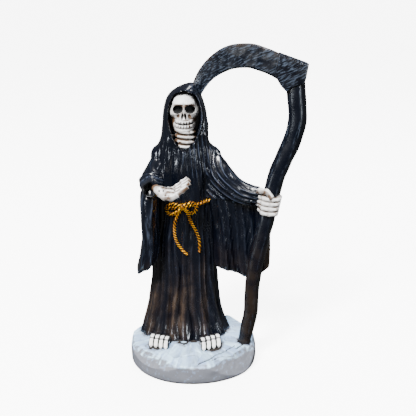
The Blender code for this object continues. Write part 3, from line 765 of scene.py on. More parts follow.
    def shape(self, u: float, v: float) -> Dab:
        """The carved skin at a share round the robe and up it."""
        turn = math.tau * (u - 0.5)
        angle = turn - 0.30 * math.sin(turn)
        front = math.cos(angle) > 0
        z = self.bottom + (self.top - self.bottom) * v**self.row_crowding
        push, crest = self.carving(angle, z, self.point(angle, z))
        push *= ease(self.top, self.top - 6.0, z) * ease(self.bottom, 0.0, z)
        place = self.point(angle, z, push)
        away = self.from_opening(place.x, z) if front else self.far_away
        place.y -= self.lip * bell(away - 0.7, 0.8)
        inside = ease(0.1, -0.8, away)
        place.y += (self.hollow_back - place.y) * inside
        outside = 1.0 - inside
        wash = self.brown(angle, z, place, crest) * outside
        rub = self.rubbed(angle, z, place, crest, outside)
        # Painted highlight along the outline of the pointed fold over the brow.
        x, high = abs(place.x - self.peak[0]) / self.peak[2], (z - self.peak[1]) / self.peak[3]
        facet = max(x + high - 1.0, -high) if front else 1.0
        place.y -= 0.5 * ease(0.1, -0.15, facet)
        return at(*place), wash, max(rub, bell(facet + 0.1, 0.10)), 0.0

    def build(self) -> None:
        """Carves and paints the robe."""
        settle("robe_and_hood", skin(self.columns, self.rows, self.shape), ROBE_BLACK)


# Sleeves.


@dataclass
class Sleeves:
    """Both arms in their sleeves, and the cloth that hangs from them."""

    right_arm: Limb = field(
        default_factory=lambda: Limb(
            (
                (0.00, 4.0, 8.4, 116.0, 7.0, 7.0),
                (0.20, 10.2, 8.0, 113.8, 10.4, 8.2),
                (0.45, 17.0, 5.2, 107.6, 8.8, 8.6),
                (0.70, 25.6, 1.4, 100.2, 7.4, 7.6),
                (0.90, 36.2, -2.2, 97.6, 6.0, 6.2),
                (1.00, 41.2, -3.8, 98.4, 4.8, 4.4),
            )
        )
    )
    left_arm: Limb = field(
        default_factory=lambda: Limb(
            (
                (0.00, -11.0, 8.4, 118.0, 6.0, 7.0),
                (0.22, -19.0, 7.6, 115.4, 6.6, 7.8),
                (0.45, -23.2, 3.6, 106.0, 5.8, 8.4),
                (0.70, -23.8, -6.6, 103.6, 5.8, 6.2),
                (0.90, -23.8, -14.6, 105.0, 5.4, 5.0),
                (1.00, -23.8, -18.6, 105.8, 4.6, 4.2),
            )
        )
    )
    # The folds of the right sleeve curve round this x and z, wider than high.
    sag_middle: tuple[float, float] = (44.0, 121.0)
    sag_width: float = 1.25
    sag_pitch: float = 2.7
    sag_depth: float = 1.0
    cuff_z: float = 95.0
    # Share of the right fall's rows that close its hem.
    hem_rows: float = 0.02
    # From this share of its rows on a sleeve turns in at its cuff, so far back along the arm.
    cuff_from: float = 0.86
    cuff_run: float = 0.16
    cuff_sink: float = 1.1
    # Height, centre x, centre y, half width, half thickness of each hanging fall.
    right_fall: Track = field(
        default_factory=lambda: Track(
            (
                (45.6, 31.0, 3.0, 16.0, 1.4),
                (47.4, 31.0, 3.0, 17.2, 2.8),
                (54.0, 31.0, 3.0, 17.6, 3.6),
                (66.0, 30.8, 3.2, 17.8, 4.2),
                (78.0, 30.0, 3.6, 18.0, 4.6),
                (88.0, 27.6, 4.0, 18.4, 5.0),
                (97.0, 23.0, 4.2, 16.5, 5.2),
                (104.0, 17.0, 4.6, 10.5, 4.8),
            )
        )
    )
    left_fall: Track = field(
        default_factory=lambda: Track(
            (
                (48.6, -31.4, -4.6, 2.2, 2.2),
                (50.6, -29.8, -4.6, 4.4, 4.8),
                (55.0, -28.0, -4.2, 5.4, 7.8),
                (63.0, -26.4, -3.4, 5.4, 10.2),
                (73.0, -25.6, -2.8, 4.9, 12.0),
                (86.0, -25.8, -2.8, 5.0, 13.2),
                (98.0, -25.4, -3.0, 5.4, 12.4),
                (106.0, -24.8, -3.0, 4.0, 9.0),
            )
        )
    )

    def sagging(self, x: float, z: float) -> float:
        """The crest of the folds that sag from the right shoulder to the wrist."""
        across, high = (x - self.sag_middle[0]) / self.sag_width, z - self.sag_middle[1]
        wander = 0.22 * rough(x, 0.0, z, 9.0) + 0.08 * rough(x, 5.0, z, 3.0)
        return ridge(math.hypot(across, high) / self.sag_pitch + wander, 1.5)

    def cuff(self, v: float) -> tuple[float, float]:
        """The share of the arm at a row, and how far the row lies inside the cuff."""
        if v < self.cuff_from:
            return v / self.cuff_from, 0.0
        inside = (v - self.cuff_from) / (1.0 - self.cuff_from)
        return 1.0 - self.cuff_run * inside, ease(0.0, 0.3, inside)

    def right_arm_shape(self, u: float, v: float) -> Dab:
        """The right arm's sleeve, in long folds that sag from shoulder to wrist."""
        angle = math.tau * u
        share, inside = self.cuff(v)
        place = self.right_arm.point(angle, share)
        lines = self.sagging(place.x, place.z)
        push = 0.6 * math.sin(5 * angle + 2.0 * share) * ease(0.9, 0.3, share) - self.cuff_sink * inside
        depth = self.sag_depth * (0.35 + 0.65 * abs(math.sin(angle)))
        push += depth * (lines - 0.4) * ease(0.0, 0.15, v) + 0.03 * rough(*place, 2.4)
        # The crests of the sagging folds carry painted highlights.
        return at(*self.right_arm.point(angle, share, push)), 0.0, lines**4, inside

    def left_arm_shape(self, u: float, v: float) -> Dab:
        """The left arm's sleeve, with folds across the bent elbow."""
        angle = math.tau * u
        share, inside = self.cuff(v)
        place = self.left_arm.point(angle, share)
        wander = 0.05 * rough(*place, 7.0)
        across = ridge(8 * (share + wander), 1.3) * bell(share - 0.66, 0.26)
        lengthwise = ridge(5 * (angle / math.tau + wander) + 0.8 * share, 1.4)
        push = 0.3 * math.sin(5 * angle + 2.0 * share) - self.cuff_sink * inside
        push += 0.75 * (across - 0.4) + 0.8 * (lengthwise - 0.5) * ease(0.5, 0.2, share)
        push += 0.03 * rough(*place, 2.4)
        # The crests of the folds carry painted highlights.
        crest = max(across, lengthwise * ease(0.5, 0.2, share))
        return at(*self.left_arm.point(angle, share, push)), 0.0, crest**2, inside

    def right_fall_shape(self, u: float, v: float) -> Dab:
        """The wide fall of the right sleeve, spread flat behind the shaft."""
        angle = math.tau * u
        foot, top = self.right_fall.rows[0][0], self.right_fall.rows[-1][0]
        z = foot + (top - foot) * max(0.0, v - self.hem_rows) / (1.0 - self.hem_rows)
        cx, cy, half, thick = self.right_fall(z)
        shrink = ease(-0.01, 0.03, v)
        across = math.copysign(abs(math.cos(angle)) ** 0.8, math.cos(angle))
        x = cx + half * across * (0.9 + 0.1 * shrink)
        low = ease(100.0, 50.0, z)
        wave = 1.5 * low * math.sin(0.46 * x + 0.9 + 0.012 * z)
        curl = -3.4 * low * ease(0.1, 0.7, across)
        wander = 0.25 * rough(x, 0.0, z * 0.5, 8.0)
        slope = 0.035 * (z - 50.0)
        wander += 0.5 * rough(x, 7.0, z * 0.6, 14.0)
        lines = ridge(x / 4.6 + slope + wander, 1.7)
        fine = ridge(x / 2.3 - 0.05 * z + 2 * wander, 2.0)
        drape = 0.9 * (lines - 0.4) + 0.28 * fine + 0.10 * rough(x, cy, z * 0.5, 2.6)
        above = ease(self.cuff_z - 0.8, self.cuff_z + 0.4, z)
        swag = self.sagging(x, z)
        push = drape + (self.sag_depth * (swag - 0.4) + 1.1 - drape) * above
        lines = lines + (swag - lines) * above
        y = cy + wave + curl + (thick * shrink + push) * math.sin(angle)
        dip = 2.6 - 5.4 * ease(-1.0, 0.25, across) + 6.0 * ease(0.6, 1.0, across)
        z_here = z + low * dip
        # Brown low down and on the outer edge, partly brown paint and partly a painted warm reflection;
        # painted highlights on the fold crests, stronger above the cuff.
        brown = ease(0.55, 0.95, across) * ease(72.0, 56.0, z) + 0.12 * ease(70.0, 50.0, z)
        rub = (0.16 + 0.69 * above) * lines**3
        return at(x, y, z_here), brown * (0.8 + lines), rub, 0.0

    def left_fall_shape(self, u: float, v: float) -> Dab:
        """The left sleeve's fall, which ends in points outside and in front."""
        angle = math.tau * u
        foot, top = self.left_fall.rows[0][0], self.left_fall.rows[-1][0]
        z = foot + (top - foot) * v
        cx, cy, half, deep = self.left_fall(z)
        low = ease(100.0, 55.0, z)
        swell = 1.0 + 0.12 * low * math.sin(5 * angle + 0.8)
        across = math.copysign(abs(math.cos(angle)) ** 0.7, math.cos(angle))
        x, y = cx + 4 * across, 4 * math.sin(angle)
        lines = ridge(9 * (angle / math.tau + 0.06 * rough(x, y, z * 0.4, 6.0)), 1.7)
        push = (0.55 * (lines - 0.4) + 0.12 * rough(x, y, z, 2.4)) * ease(foot, foot + 5.4, z)
        x = cx + (half * swell + push) * across
        y = cy + (deep * swell + push) * math.sin(angle)
        # Brown low down, partly brown paint and partly a painted warm reflection; painted highlights on
        # the fold crests.
        brown = 0.25 * ease(62.0, 50.0, z)
        return at(x, y, z + 1.6 * low * across), brown, 0.9 * lines**2, 0.0

    def build(self) -> None:
        """Carves and paints both sleeves."""
        settle("right_sleeve", skin(150, 130, self.right_arm_shape), ROBE_BLACK)
        settle("left_sleeve", skin(130, 130, self.left_arm_shape), ROBE_BLACK)
        settle("right_sleeve_fall", skin(260, 170, self.right_fall_shape), ROBE_BLACK)
        settle("left_sleeve_fall", skin(140, 170, self.left_fall_shape), ROBE_BLACK)


# Skull and neck.


# What a carved form does to the face: how deep it cuts, its brown wash and its black.
Mark = tuple[float, float, float]


@dataclass(frozen=True)
class Swell:
    """A soft lump on both sides of the face, or a hollow where its height is below 0."""

    aside: float
    spread: float
    z: float
    reach: float
    height: float
    wash: float = 0.0
    lean: float = 0.0

    def mark(self, side: float, z: float) -> Mark:
        """What it does to the face at a place."""
        outward = side - self.aside
        amount = bell(outward, self.spread) * bell(z - self.z + self.lean * outward, self.reach)
        return -self.height * amount, self.wash * amount, 0.0


@dataclass
class Skull:
    """The skull in the hood and the ringed neck under it."""

    x: float = -4.4
    y: float = 4.6
    back: float = 6.0
    face_x: float = -4.1
    socket_aside: float = 3.5
    socket_z: float = 149.9
    socket_half_width: float = 2.75
    socket_half_height: float = 2.2
    socket_depth: float = 3.2
    nose_z: float = 145.9
    nostril_aside: float = 0.66
    nostril_half_width: float = 0.55
    nostril_half_height: float = 1.75
    mouth_z: float = 141.0
    mouth_half: float = 5.6
    mouth_curve: float = 0.024
    tooth_width: float = 1.7
    # How far the rows of teeth and the two gums lie from the line of the mouth.
    teeth_off: float = 1.25
    upper_gum_off: float = 2.5
    lower_gum_off: float = 2.6
    brow: Swell = Swell(3.4, 2.6, 153.0, 0.9, 1.0)
    between_brows: Swell = Swell(0.0, 1.4, 152.4, 1.0, -0.35)
    beside_nose: Swell = Swell(3.3, 1.0, 145.6, 1.5, -1.4, wash=2.4, lean=0.5)
    cheekbone: Swell = Swell(5.6, 1.8, 147.2, 1.0, 1.1)
    upper_lip: Swell = Swell(0.0, 3.6, 143.2, 1.4, 0.9)
    cheek: Swell = Swell(6.6, 1.5, 143.2, 2.1, -2.2, wash=2.6)
    temple: Swell = Swell(7.6, 1.2, 152.0, 1.9, -0.8, wash=0.9)
    # A chip in the paint of the forehead: distance from the face's middle, height, size.
    chip: tuple[float, float, float] = (5.2, 155.6, 0.5)
    neck_y: float = 2.0
    neck_bottom: float = 126.0
    neck_top: float = 137.6
    neck_radius: float = 5.9
    neck_rings: int = 4
    # Height, half width, how far the skull reaches in front.
    form: Track = field(
        default_factory=lambda: Track(
            (
                (134.6, 0.6, 1.4),
                (134.9, 3.0, 6.4),
                (136.0, 5.2, 8.6),
                (138.6, 6.5, 9.4),
                (141.4, 7.1, 9.7),
                (143.8, 7.4, 9.4),
                (146.0, 8.5, 9.2),
                (148.0, 8.9, 9.0),
                (150.2, 8.4, 9.2),
                (152.4, 7.6, 9.3),
                (154.6, 6.8, 8.8),
                (156.8, 5.2, 7.0),
                (158.2, 2.6, 3.6),
                (158.5, 0.4, 0.6),
            )
        )
    )

    def eye(self, side: float, z: float) -> Mark:
        """The eye socket, black inside with a brown edge."""
        across = (side - self.socket_aside) / self.socket_half_width
        high = (z - self.socket_z + 0.12 * (side - 3.0)) / self.socket_half_height
        away = math.hypot(across, high)
        edge = 1.3 * bell(away - 1.25, 0.30) * (0.5 + 0.5 * ease(0.0, 1.6, z - self.socket_z))
        return self.socket_depth * ease(1.14, 0.82, away), edge, ease(1.22, 1.06, away)

    def nose(self, side: float, z: float) -> Mark:
        """The nose bone, the ridges that spread below it and the nostrils."""
        cut = -1.1 * bell(side, 0.95) * ease(145.2, 147.6, z) * ease(152.4, 149.8, z)
        bridge = 0.9 + 0.34 * (149.0 - z)
        cut -= 0.6 * bell(side - bridge, 0.5) * ease(144.2, 145.2, z) * ease(149.6, 148.4, z)
        across = (side - self.nostril_aside - 0.14 * (147.6 - z)) / self.nostril_half_width
        away = math.hypot(across, (z - self.nose_z) / self.nostril_half_height)
        cut += 1.6 * ease(1.1, 0.6, away)
        return cut, 0.9 * bell(away - 1.3, 0.35), ease(1.2, 1.0, away)

    def mouth(self, dx: float, z: float) -> Mark:
        """The line of the mouth, the two rows of teeth and the gums."""
        line = self.mouth_z + self.mouth_curve * dx * dx + 0.12 * rough(dx, 0.0, 0.0, 1.7)
        within = ease(self.mouth_half + 0.6, self.mouth_half - 0.6, abs(dx))
        off = z - line
        gap = bell(off, 0.50) * within
        row = (bell(off - self.teeth_off, 0.85) + bell(off + self.teeth_off, 0.85)) * within
        gum = bell(off - self.upper_gum_off, 0.45) + 0.8 * bell(off + self.lower_gum_off, 0.45)
        gum *= within
        tooth = ridge(dx / self.tooth_width + 0.5 + 0.2 * rough(dx, z * 0.2, 0.0, 2.0), 0.9)
        black = 0.95 * gap * ease(-0.7, -0.1, rough(dx, 5.0, 0.0, 1.6))
        wash = max(1.6 * gap, 1.3 * row * ease(0.62, 0.2, tooth), 1.2 * gum)
        return 1.2 * gap - 0.6 * row * tooth + 0.5 * gum, wash, black

    def stains(self, dx: float, z: float) -> Mark:
        """The brown between the brows and down the sides of the jaw."""
        brow = bell(dx, 1.3) * bell(z - 152.9, 0.8) * ease(-0.2, 0.3, rough(dx, z, 0, 0.8))
        jaw = ease(4.6, 6.4, abs(dx)) * ease(144.5, 141.0, z)
        return 0.0, max(0.8 * brow, 0.9 * jaw), 0.0

    def features(self, dx: float, z: float) -> Mark:
        """The carving of the face.

        Args:
            dx: Distance to the right of the face's middle.
            z: Height.

        Returns:
            How far the face is cut in, the brown wash and the black.
        """
        side = abs(dx)
        swells = (
            self.brow,
            self.between_brows,
            self.beside_nose,
            self.cheekbone,
            self.upper_lip,
            self.cheek,
            self.temple,
        )
        marks = [swell.mark(side, z) for swell in swells]
        marks += [self.eye(side, z), self.nose(side, z), self.mouth(dx, z), self.stains(dx, z)]
        cuts, washes, blacks = zip(*marks)
        return sum(cuts), max(washes), max(blacks)

    def shape(self, u: float, v: float) -> Dab:
        """The carved skull at a share round it and up it."""
        turn = math.tau * (u - 0.5)
        angle = turn - 0.42 * math.sin(turn)
        chin, crown = self.form.rows[0][0], self.form.rows[-1][0]
        z = chin + (crown - chin) * (v - 0.05 * math.sin(math.tau * v))
        half, reach = self.form(z)
        front = math.cos(angle)
        deep = reach if front > 0 else self.back * reach / 9.6
        aside = math.copysign(abs(math.sin(angle)) ** 0.86, math.sin(angle))
        x = self.x + half * aside
        y = self.y - deep * front
        cut, wash, black = self.features(x - self.face_x, z) if front > 0 else (0.0, 0.0, 0.0)
        facing = ease(0.0, 0.35, front)
        y += cut * facing + 0.10 * rough(x, y, z, 1.6)
        # Painted shade on the sides of the skull and under the chin, and a painted highlight on the crown.
        shade = max(0.9 * ease(0.55, 0.15, front), 1.1 * ease(137.4, 135.2, z))
        aside, chip_z, size = self.chip
        chip = bell(math.hypot(x - self.face_x - aside, z - chip_z), size) * 0.7
        crown_highlight = ease(152.5, 156.5, z) * ease(0.2, 0.7, front)
        return at(x, y, z), max(wash * facing, shade, chip), crown_highlight, black * facing

    def neck_shape(self, u: float, v: float) -> Dab:
        """The neck: rounded rings, brown between them, with painted shade on its sides."""
        angle = math.tau * u
        z = self.neck_bottom + (self.neck_top - self.neck_bottom) * v
        sway = 0.25 * math.sin(angle + 0.5) + 0.2 * rough(math.cos(angle), math.sin(angle), v * 9, 1.0)
        turns = self.neck_rings * v + 0.15 * math.sin(angle) + 0.5
        swell = ridge(turns, 0.6)
        radius = self.neck_radius - 1.5 + 1.85 * swell + sway
        x = -3.8 + radius * math.sin(angle)
        y = self.neck_y - radius * math.cos(angle)
        groove = ease(0.8, 0.35, swell)
        blotch = 0.25 + 0.7 * ease(-0.1, 0.4, rough(x, y, z, 2.6))
        # Painted shade on the sides of the neck.
        edge = 1.1 * ease(0.5, 0.9, abs(math.sin(angle)))
        return at(x, y, z), max(1.5 * groove, blotch, edge), 0.0, 0.8 * ease(0.3, 0.05, swell)

    def build(self) -> None:
        """Carves and paints the skull and the neck."""
        settle("skull", skin(230, 210, self.shape), BONE_WHITE)
        settle("neck", skin(96, 90, self.neck_shape), BONE_WHITE)


# Hands.


@dataclass
class Digit:
    """A bony finger through its joints."""

    joints: Sequence[Sequence[float]]
    radius: float
    # Whether it lies above the next finger, so that the wash gathers above and below.
    stacked: bool = False
    # Its thickness between joints, what a joint adds, and its tip, as shares.
    waist: float = 0.86
    knuckle: float = 0.26
    tip: float = 0.25
    columns: int = 28
    rows_each: int = 14

    def __post_init__(self) -> None:
        """Makes the limb that the finger follows."""
        count = len(self.joints) - 1
        rows = [(i / count, *joint, self.radius, self.radius) for i, joint in enumerate(self.joints)]
        self.limb = Limb(rows, 0.9)
        self.bones = count

    def shape(self, u: float, v: float) -> Dab:
        """The finger, narrower between joints and rounded at its tip."""
        angle = math.tau * u
        bone = v * self.bones
        knuckle = ridge(bone, 1.4)
        round_tip = math.sqrt(max(0.0, 1.0 - ease(0.90, 1.0, v) ** 2))
        size = (self.waist + self.knuckle * knuckle) * (self.tip + (1.0 - self.tip) * round_tip)
        place = self.limb.point(angle, v, self.radius * (size - 1.0))
        place += Vector((0.0, 0.0, 0.05 * rough(*place, 0.9)))
        crease = ease(0.72, 0.98, ridge(bone + 0.18, 1.0)) * 0.7
        # Painted shade on the underside of the finger.
        below = ease(0.0, 0.8, -math.cos(angle)) * 0.8
        if self.stacked:
            sides, least = 1.4 * ease(0.6, 0.9, abs(math.cos(angle))), 0.05
        else:
            sides, least = ease(0.6, 0.9, abs(math.sin(angle))), 0.22
        return at(*place), max(crease, sides * ease(1.0, 0.9, v), below, least), 0.0, 0.0

    def build(self, name: str) -> None:
        """Models and paints the finger."""
        bm = skin(self.columns, self.rows_each * self.bones, self.shape)
        settle(name, bm, BONE_WHITE)


@dataclass
class OpenHand:
    """The left hand, palm up and fingers pointing right and up."""

    radius: float = 1.75
    bone_pitch: float = 2.9
    # How far each finger reaches, and how far one lies from the next.
    reaches: Sequence[float] = (0.90, 1.0, 1.0, 0.88)
    first_finger: Spot = (-11.0, -27.4, 103.4)
    next_finger: Spot = (0.0, 2.5, 0.95)
    bends: Rows = ((0.0, 0.0, 0.0), (3.6, -0.2, 2.2), (7.0, -0.3, 4.9), (10.6, 0.0, 7.6))
    finger_share: float = 0.86
    palm: Limb = field(
        default_factory=lambda: Limb(
            (
                (0.00, -20.6, -17.6, 106.6, 2.2, 2.4),
                (0.28, -17.6, -22.0, 106.2, 3.1, 3.6),
                (0.62, -13.6, -23.8, 105.0, 3.8, 4.7),
                (1.00, -9.2, -23.8, 105.4, 2.6, 4.6),
            )
        )
    )
    thumb: Rows = (
        (-17.8, -25.0, 105.2),
        (-14.6, -27.0, 103.7),
        (-11.2, -28.4, 103.7),
        (-7.0, -28.8, 105.8),
    )
    # Two nicks near the wrist: x and z, and their size.
    nicks: Rows = ((-17.8, 107.2), (-15.4, 107.4))
    nick_size: float = 0.62

    def palm_shape(self, u: float, v: float) -> Dab:
        """The palm, cupped on its upper side and furrowed between its bones."""
        angle = math.tau * u
        place = self.palm.point(angle, v)
        under = -math.cos(angle)
        bones = ridge(place.y / self.bone_pitch, 0.8) * ease(0.4, 0.8, v)
        push = 0.5 * (bones - 0.5) + 0.3 * rough(*place, 2.2) - 0.7 * bell(angle, 0.9) * bell(v - 0.7, 0.3)
        furrows = 1.3 * ease(0.6, 0.1, bones) * ease(0.35, 0.6, v)
        blotches = 1.2 * ease(0.05, 0.45, rough(*place, 2.2))
        # The brown on the underside of the palm is painted shade.
        wash = max(furrows, blotches, 1.1 * ease(-0.1, 0.7, under), 1.3 * ease(0.42, 0.1, v), 0.3)
        place = self.palm.point(angle, v, push)
        nick = max(bell(math.hypot(place.x - x, place.z - z), self.nick_size) for x, z in self.nicks)
        return at(*place), wash, 0.0, nick * ease(0.0, -0.3, place.y + 22.0)

    def build(self) -> None:
        """Models the palm, four fingers and the thumb."""
        settle("open_palm", skin(72, 60, self.palm_shape), BONE_WHITE)
        for i, reach in enumerate(self.reaches):
            base = Vector(self.first_finger) + Vector(self.next_finger) * i
            joints = [base + Vector(bend) * reach for bend in self.bends]
            Digit(joints, self.radius * self.finger_share).build(f"open_finger_{i + 1}")
        Digit(self.thumb, self.radius).build("open_thumb")


@dataclass
class Fist:
    """The right hand, closed round the scythe's shaft."""

    radius: float = 1.75
    pitch: float = 3.0
    top: float = 98.4
    fingers: int = 4
    finger_share: float = 0.85
    # How far each finger ends to the left of the one above, and the same at the knuckles.
    lean: float = 0.55
    knuckle_lean: float = 0.22
    back: Limb = field(
        default_factory=lambda: Limb(
            (
                (0.00, 38.8, -1.6, 98.6, 4.0, 3.2),
                (0.45, 41.8, -5.0, 96.4, 6.0, 3.2),
                (1.00, 44.0, -8.6, 94.6, 6.0, 3.0),
            )
        )
    )
    thumb: Rows = (
        (39.8, -5.0, 99.8),
        (41.0, -10.0, 102.6),
        (44.2, -13.0, 102.8),
        (47.4, -15.0, 99.2),
    )

    def back_shape(self, u: float, v: float) -> Dab:
        """The back of the hand, furrowed between its bones."""
        angle = math.tau * u
        place = self.back.point(angle, v)
        bones = ridge((place.z - self.top) / self.pitch, 0.9)
        push = 0.4 * (bones - 0.5) * ease(0.2, 0.6, v) + 0.15 * rough(*place, 2.0)
        furrows = 1.4 * ease(0.55, 0.1, bones) * ease(0.2, 0.6, v)
        blotches = 0.8 * ease(0.1, 0.5, rough(*place, 2.2))
        return at(*self.back.point(angle, v, push)), max(furrows, blotches), 0.0, 0.0

    def build(self) -> None:
        """Models the back of the hand, four fingers and the thumb."""
        settle("fist_back", skin(64, 50, self.back_shape), BONE_WHITE)
        for i in range(self.fingers):
            z, near, far = self.top - self.pitch * i, self.knuckle_lean * i, self.lean * i
            joints = (
                (42.0 - near, -4.0, z - 0.3),
                (43.2 - near, -11.4, z),
                (47.8 - far, -14.2, z),
                (51.4 - far, -13.2, z),
                (52.8 - far, -7.6, z),
            )
            finger = Digit(joints, self.radius * self.finger_share, stacked=True)
            finger.build(f"fist_finger_{i + 1}")
        Digit(self.thumb, self.radius).build("fist_thumb")


# Feet.


@dataclass
class Foot:
    """Four blunt toes side by side under the hem."""

    name: str
    side: int
    middle: float
    outer_y: float
    inner_y: float
    toes: int = 4
    toe_width: float = 3.25
    # How far apart the toes stand for their width, and where the notch of each is.
    spacing: float = 0.96
    notch_at: float = 0.48

    def toe(self, i: int) -> None:
        """Models one toe, counted from the inner one."""
        outward = i / (self.toes - 1)
        x = self.middle + self.side * (outward - 0.5) * (self.toes - 1) * self.toe_width * self.spacing
        tip = self.inner_y + (self.outer_y - self.inner_y) * outward
        width = self.toe_width
        limb = Limb(
            (
                (0.0, x - self.side * 1.4, tip + 9.0, 4.4, 0.62 * width, 0.52 * width),
                (0.4, x - self.side * 0.5, tip + 5.0, 4.7, 0.68 * width, 0.52 * width),
                (0.6, x - self.side * 0.2, tip + 2.8, 3.8, 0.64 * width, 0.50 * width),
                (0.9, x, tip + 0.4, 2.1, 0.72 * width, 0.51 * width),
                (1.0, x, tip - 0.6, 1.3, 0.42 * width, 0.38 * width),
            ),
            0.62,
        )

        def shape(u: float, v: float) -> Dab:
            """The toe with a notch behind its nail."""
            angle = math.tau * u
            notch = bell(v - self.notch_at, 0.040)
            push = -0.45 * notch - 0.3 * width * ease(0.93, 1.0, v)
            place = limb.point(angle, v, push)
            place.z += 0.08 * rough(*place, 1.1)
            joint = ease(0.42, 0.66, abs(math.sin(angle))) * ease(0.6, -0.2, -math.cos(angle))
            bottom = ease(1.9, 1.0, place.z + 0.3 * rough(*place, 1.0))
            hem = ease(0.30, 0.2, v)
            nail = 0.75 * bell(v - self.notch_at, 0.03)
            return at(*place), 0.9 * notch, 0.9, max(joint, bottom, hem, nail)

        settle(f"{self.name}_toe_{i + 1}", skin(40, 48, shape), BONE_WHITE)

    def build(self) -> None:
        """Models the toes."""
        for i in range(self.toes):
            self.toe(i)


# Rope girdle.


@dataclass
class RopeGirdle:
    """The rope round the waist, knotted in front into a bow with two tails."""

    robe: Robe
    columns: int = 24
    row_length: float = 0.28
    # Points along the girdle, and along each loop and tail.
    girdle_points: int = 160
    route_points: int = 60
    # Thickness of the tails as a share of the girdle's, and how much of the right one fades.
    tail_slimness: float = 0.86
    tail_fade: float = 0.35
    # How far the bow, the tails and the knot stand off the robe.
    bow_lift: float = 0.35
    tail_lift: float = 0.2
    knot_lift: float = 0.5
    knot_radius: float = 1.5
    radius: float = 1.12
    lay: float = 4.0
    strands: int = 2
    rise: float = 3.2
    # On the left the girdle sinks into the folds: bearing, half its run, depth.
    sunk_bearing: float = -1.3
    sunk_run: float = 0.66
    sunk_depth: float = 3.2
    knot: tuple[float, float] = (-5.1, 90.8)
    left_loop: Rows = (
        (-5.1, 91.0),
        (-9.0, 92.0),
        (-12.8, 91.6),
        (-15.4, 89.2),
        (-14.6, 86.2),
        (-12.0, 85.4),
        (-9.0, 87.2),
        (-5.1, 90.6),
    )
    right_loop: Rows = (
        (-5.1, 91.0),
        (-1.6, 93.0),
        (1.4, 92.4),
        (2.9, 89.7),
        (1.6, 87.0),
        (-1.0, 86.6),
        (-3.0, 88.2),
        (-5.1, 90.4),
    )
    left_tail: Rows = (
        (-5.4, 90.2),
        (-8.6, 85.2),
        (-10.6, 77.0),
        (-10.0, 70.4),
        (-7.2, 64.6),
        (-2.8, 60.0),
    )
    right_tail: Rows = (
        (-4.8, 90.2),
        (-2.2, 86.0),
        (-0.4, 80.6),
        (2.4, 75.4),
        (4.5, 68.6),
        (4.6, 60.8),
    )

    @staticmethod
    def bearings(spots: Sequence[Vector], closed: bool, share: float) -> tuple[Vector, Vector, Vector]:
        """The middle of a rope at a share of it, and the directions aside and outward."""
        count = len(spots)
        where = share * (count if closed else count - 1)
        i = int(where)
        here = spots[i % count]
        ahead = spots[(i + 1) % count if closed else min(i + 1, count - 1)]
        before = spots[(i - 1) % count if closed else max(i - 1, 0)]
        along = (ahead - before).normalized()
        side = along.cross(FORWARD).normalized()
        return here.lerp(ahead, where - i), side, side.cross(along)

    def rope(
        self,
        name: str,
        spots: Sequence[Vector],
        closed: bool = False,
        fade: float = 0.0,
        slimness: float = 1.0,
    ) -> None:
        """Models a length of twisted rope.

        Args:
            name: The piece's name.
            spots: Points along its middle, in drawn units.
            closed: Whether it meets itself.
            fade: Share of its end that turns brown.
            slimness: Its thickness as a share of the girdle's.
        """
        length = run(spots)
        turns = max(1, round(length / (self.lay * slimness)))

        def shape(u: float, v: float) -> Dab:
            """The rope's skin: strands that wind round its middle."""
            centre, side, out = self.bearings(spots, closed, v)
            angle = math.tau * u
            strand = ridge(self.strands * (angle / math.tau) - turns * self.strands * v, 0.7)
            cap = 1.0 if closed else math.sqrt(max(0.0, 1.0 - abs(2 * v - 1) ** 24))
            radius = self.radius * slimness * (0.50 + 0.56 * strand) * (0.2 + 0.8 * cap)
            place = centre + (side * math.cos(angle) + out * math.sin(angle)) * radius
            old = ease(1.0 - fade, 1.0, v) if fade else 0.0
            # The crests of the strands carry painted highlights.
            wash = max(1.4 * ease(0.85, 0.4, strand), old)
            return at(*place), wash, ease(0.8, 1.0, strand) * (1 - old), 0.8 * ease(0.4, 0.1, strand)

        rows = max(self.columns, round(length / self.row_length))
        settle(name, skin(self.columns, rows, shape), ROPE_GOLD)

    def on_robe(self, points: Rows, proud: float) -> list[Vector]:
        """Points along a smooth route on the robe's front."""
        route = Track([(i / (len(points) - 1), *point) for i, point in enumerate(points)])
        spots = [route(k / self.route_points) for k in range(self.route_points + 1)]
        return [self.robe.front(x, z, proud) for x, z in spots]

    def build(self) -> None:
        """Models the girdle, the bow, the tails and the knot."""
        proud = self.radius * 0.45
        turn = []
        for i in range(self.girdle_points):
            angle = math.tau * i / self.girdle_points
            away = abs(math.remainder(angle - self.sunk_bearing, math.tau))
            lift = proud - self.sunk_depth * ease(self.sunk_run, self.sunk_run - 0.2, away)
            turn.append(self.robe.point(angle, self.knot[1] + self.rise * math.sin(angle), lift))
        self.rope("girdle", turn, closed=True)
        for name, loop in (("bow_left", self.left_loop), ("bow_right", self.right_loop)):
            self.rope(name, self.on_robe(loop, proud + self.bow_lift))
        left = self.on_robe(self.left_tail, proud + self.tail_lift)
        right = self.on_robe(self.right_tail, proud + self.tail_lift)
        self.rope("tail_left", left, slimness=self.tail_slimness)
        self.rope("tail_right", right, fade=self.tail_fade, slimness=self.tail_slimness)
        middle = self.robe.front(*self.knot, proud + self.knot_lift)

        def knot_shape(u: float, v: float) -> Dab:
            """The knot: a fat lump wound about with strands."""
            angle, high = math.tau * u, math.pi * (v - 0.5)
            strand = ridge(2 * u + 1.5 * v, 0.5)
            radius = self.knot_radius + 0.4 * strand
            place = middle + Vector(
                (
                    radius * math.cos(high) * math.cos(angle),
                    radius * 0.8 * math.cos(high) * math.sin(angle),
                    radius * 1.1 * math.sin(high),
                )
            )
            # The crests of the strands carry painted highlights.
            return at(*place), 1.3 * ease(0.8, 0.3, strand), ease(0.8, 1.0, strand), 0.0

        settle("knot", skin(40, 30, knot_shape), ROPE_GOLD)


# Scythe.


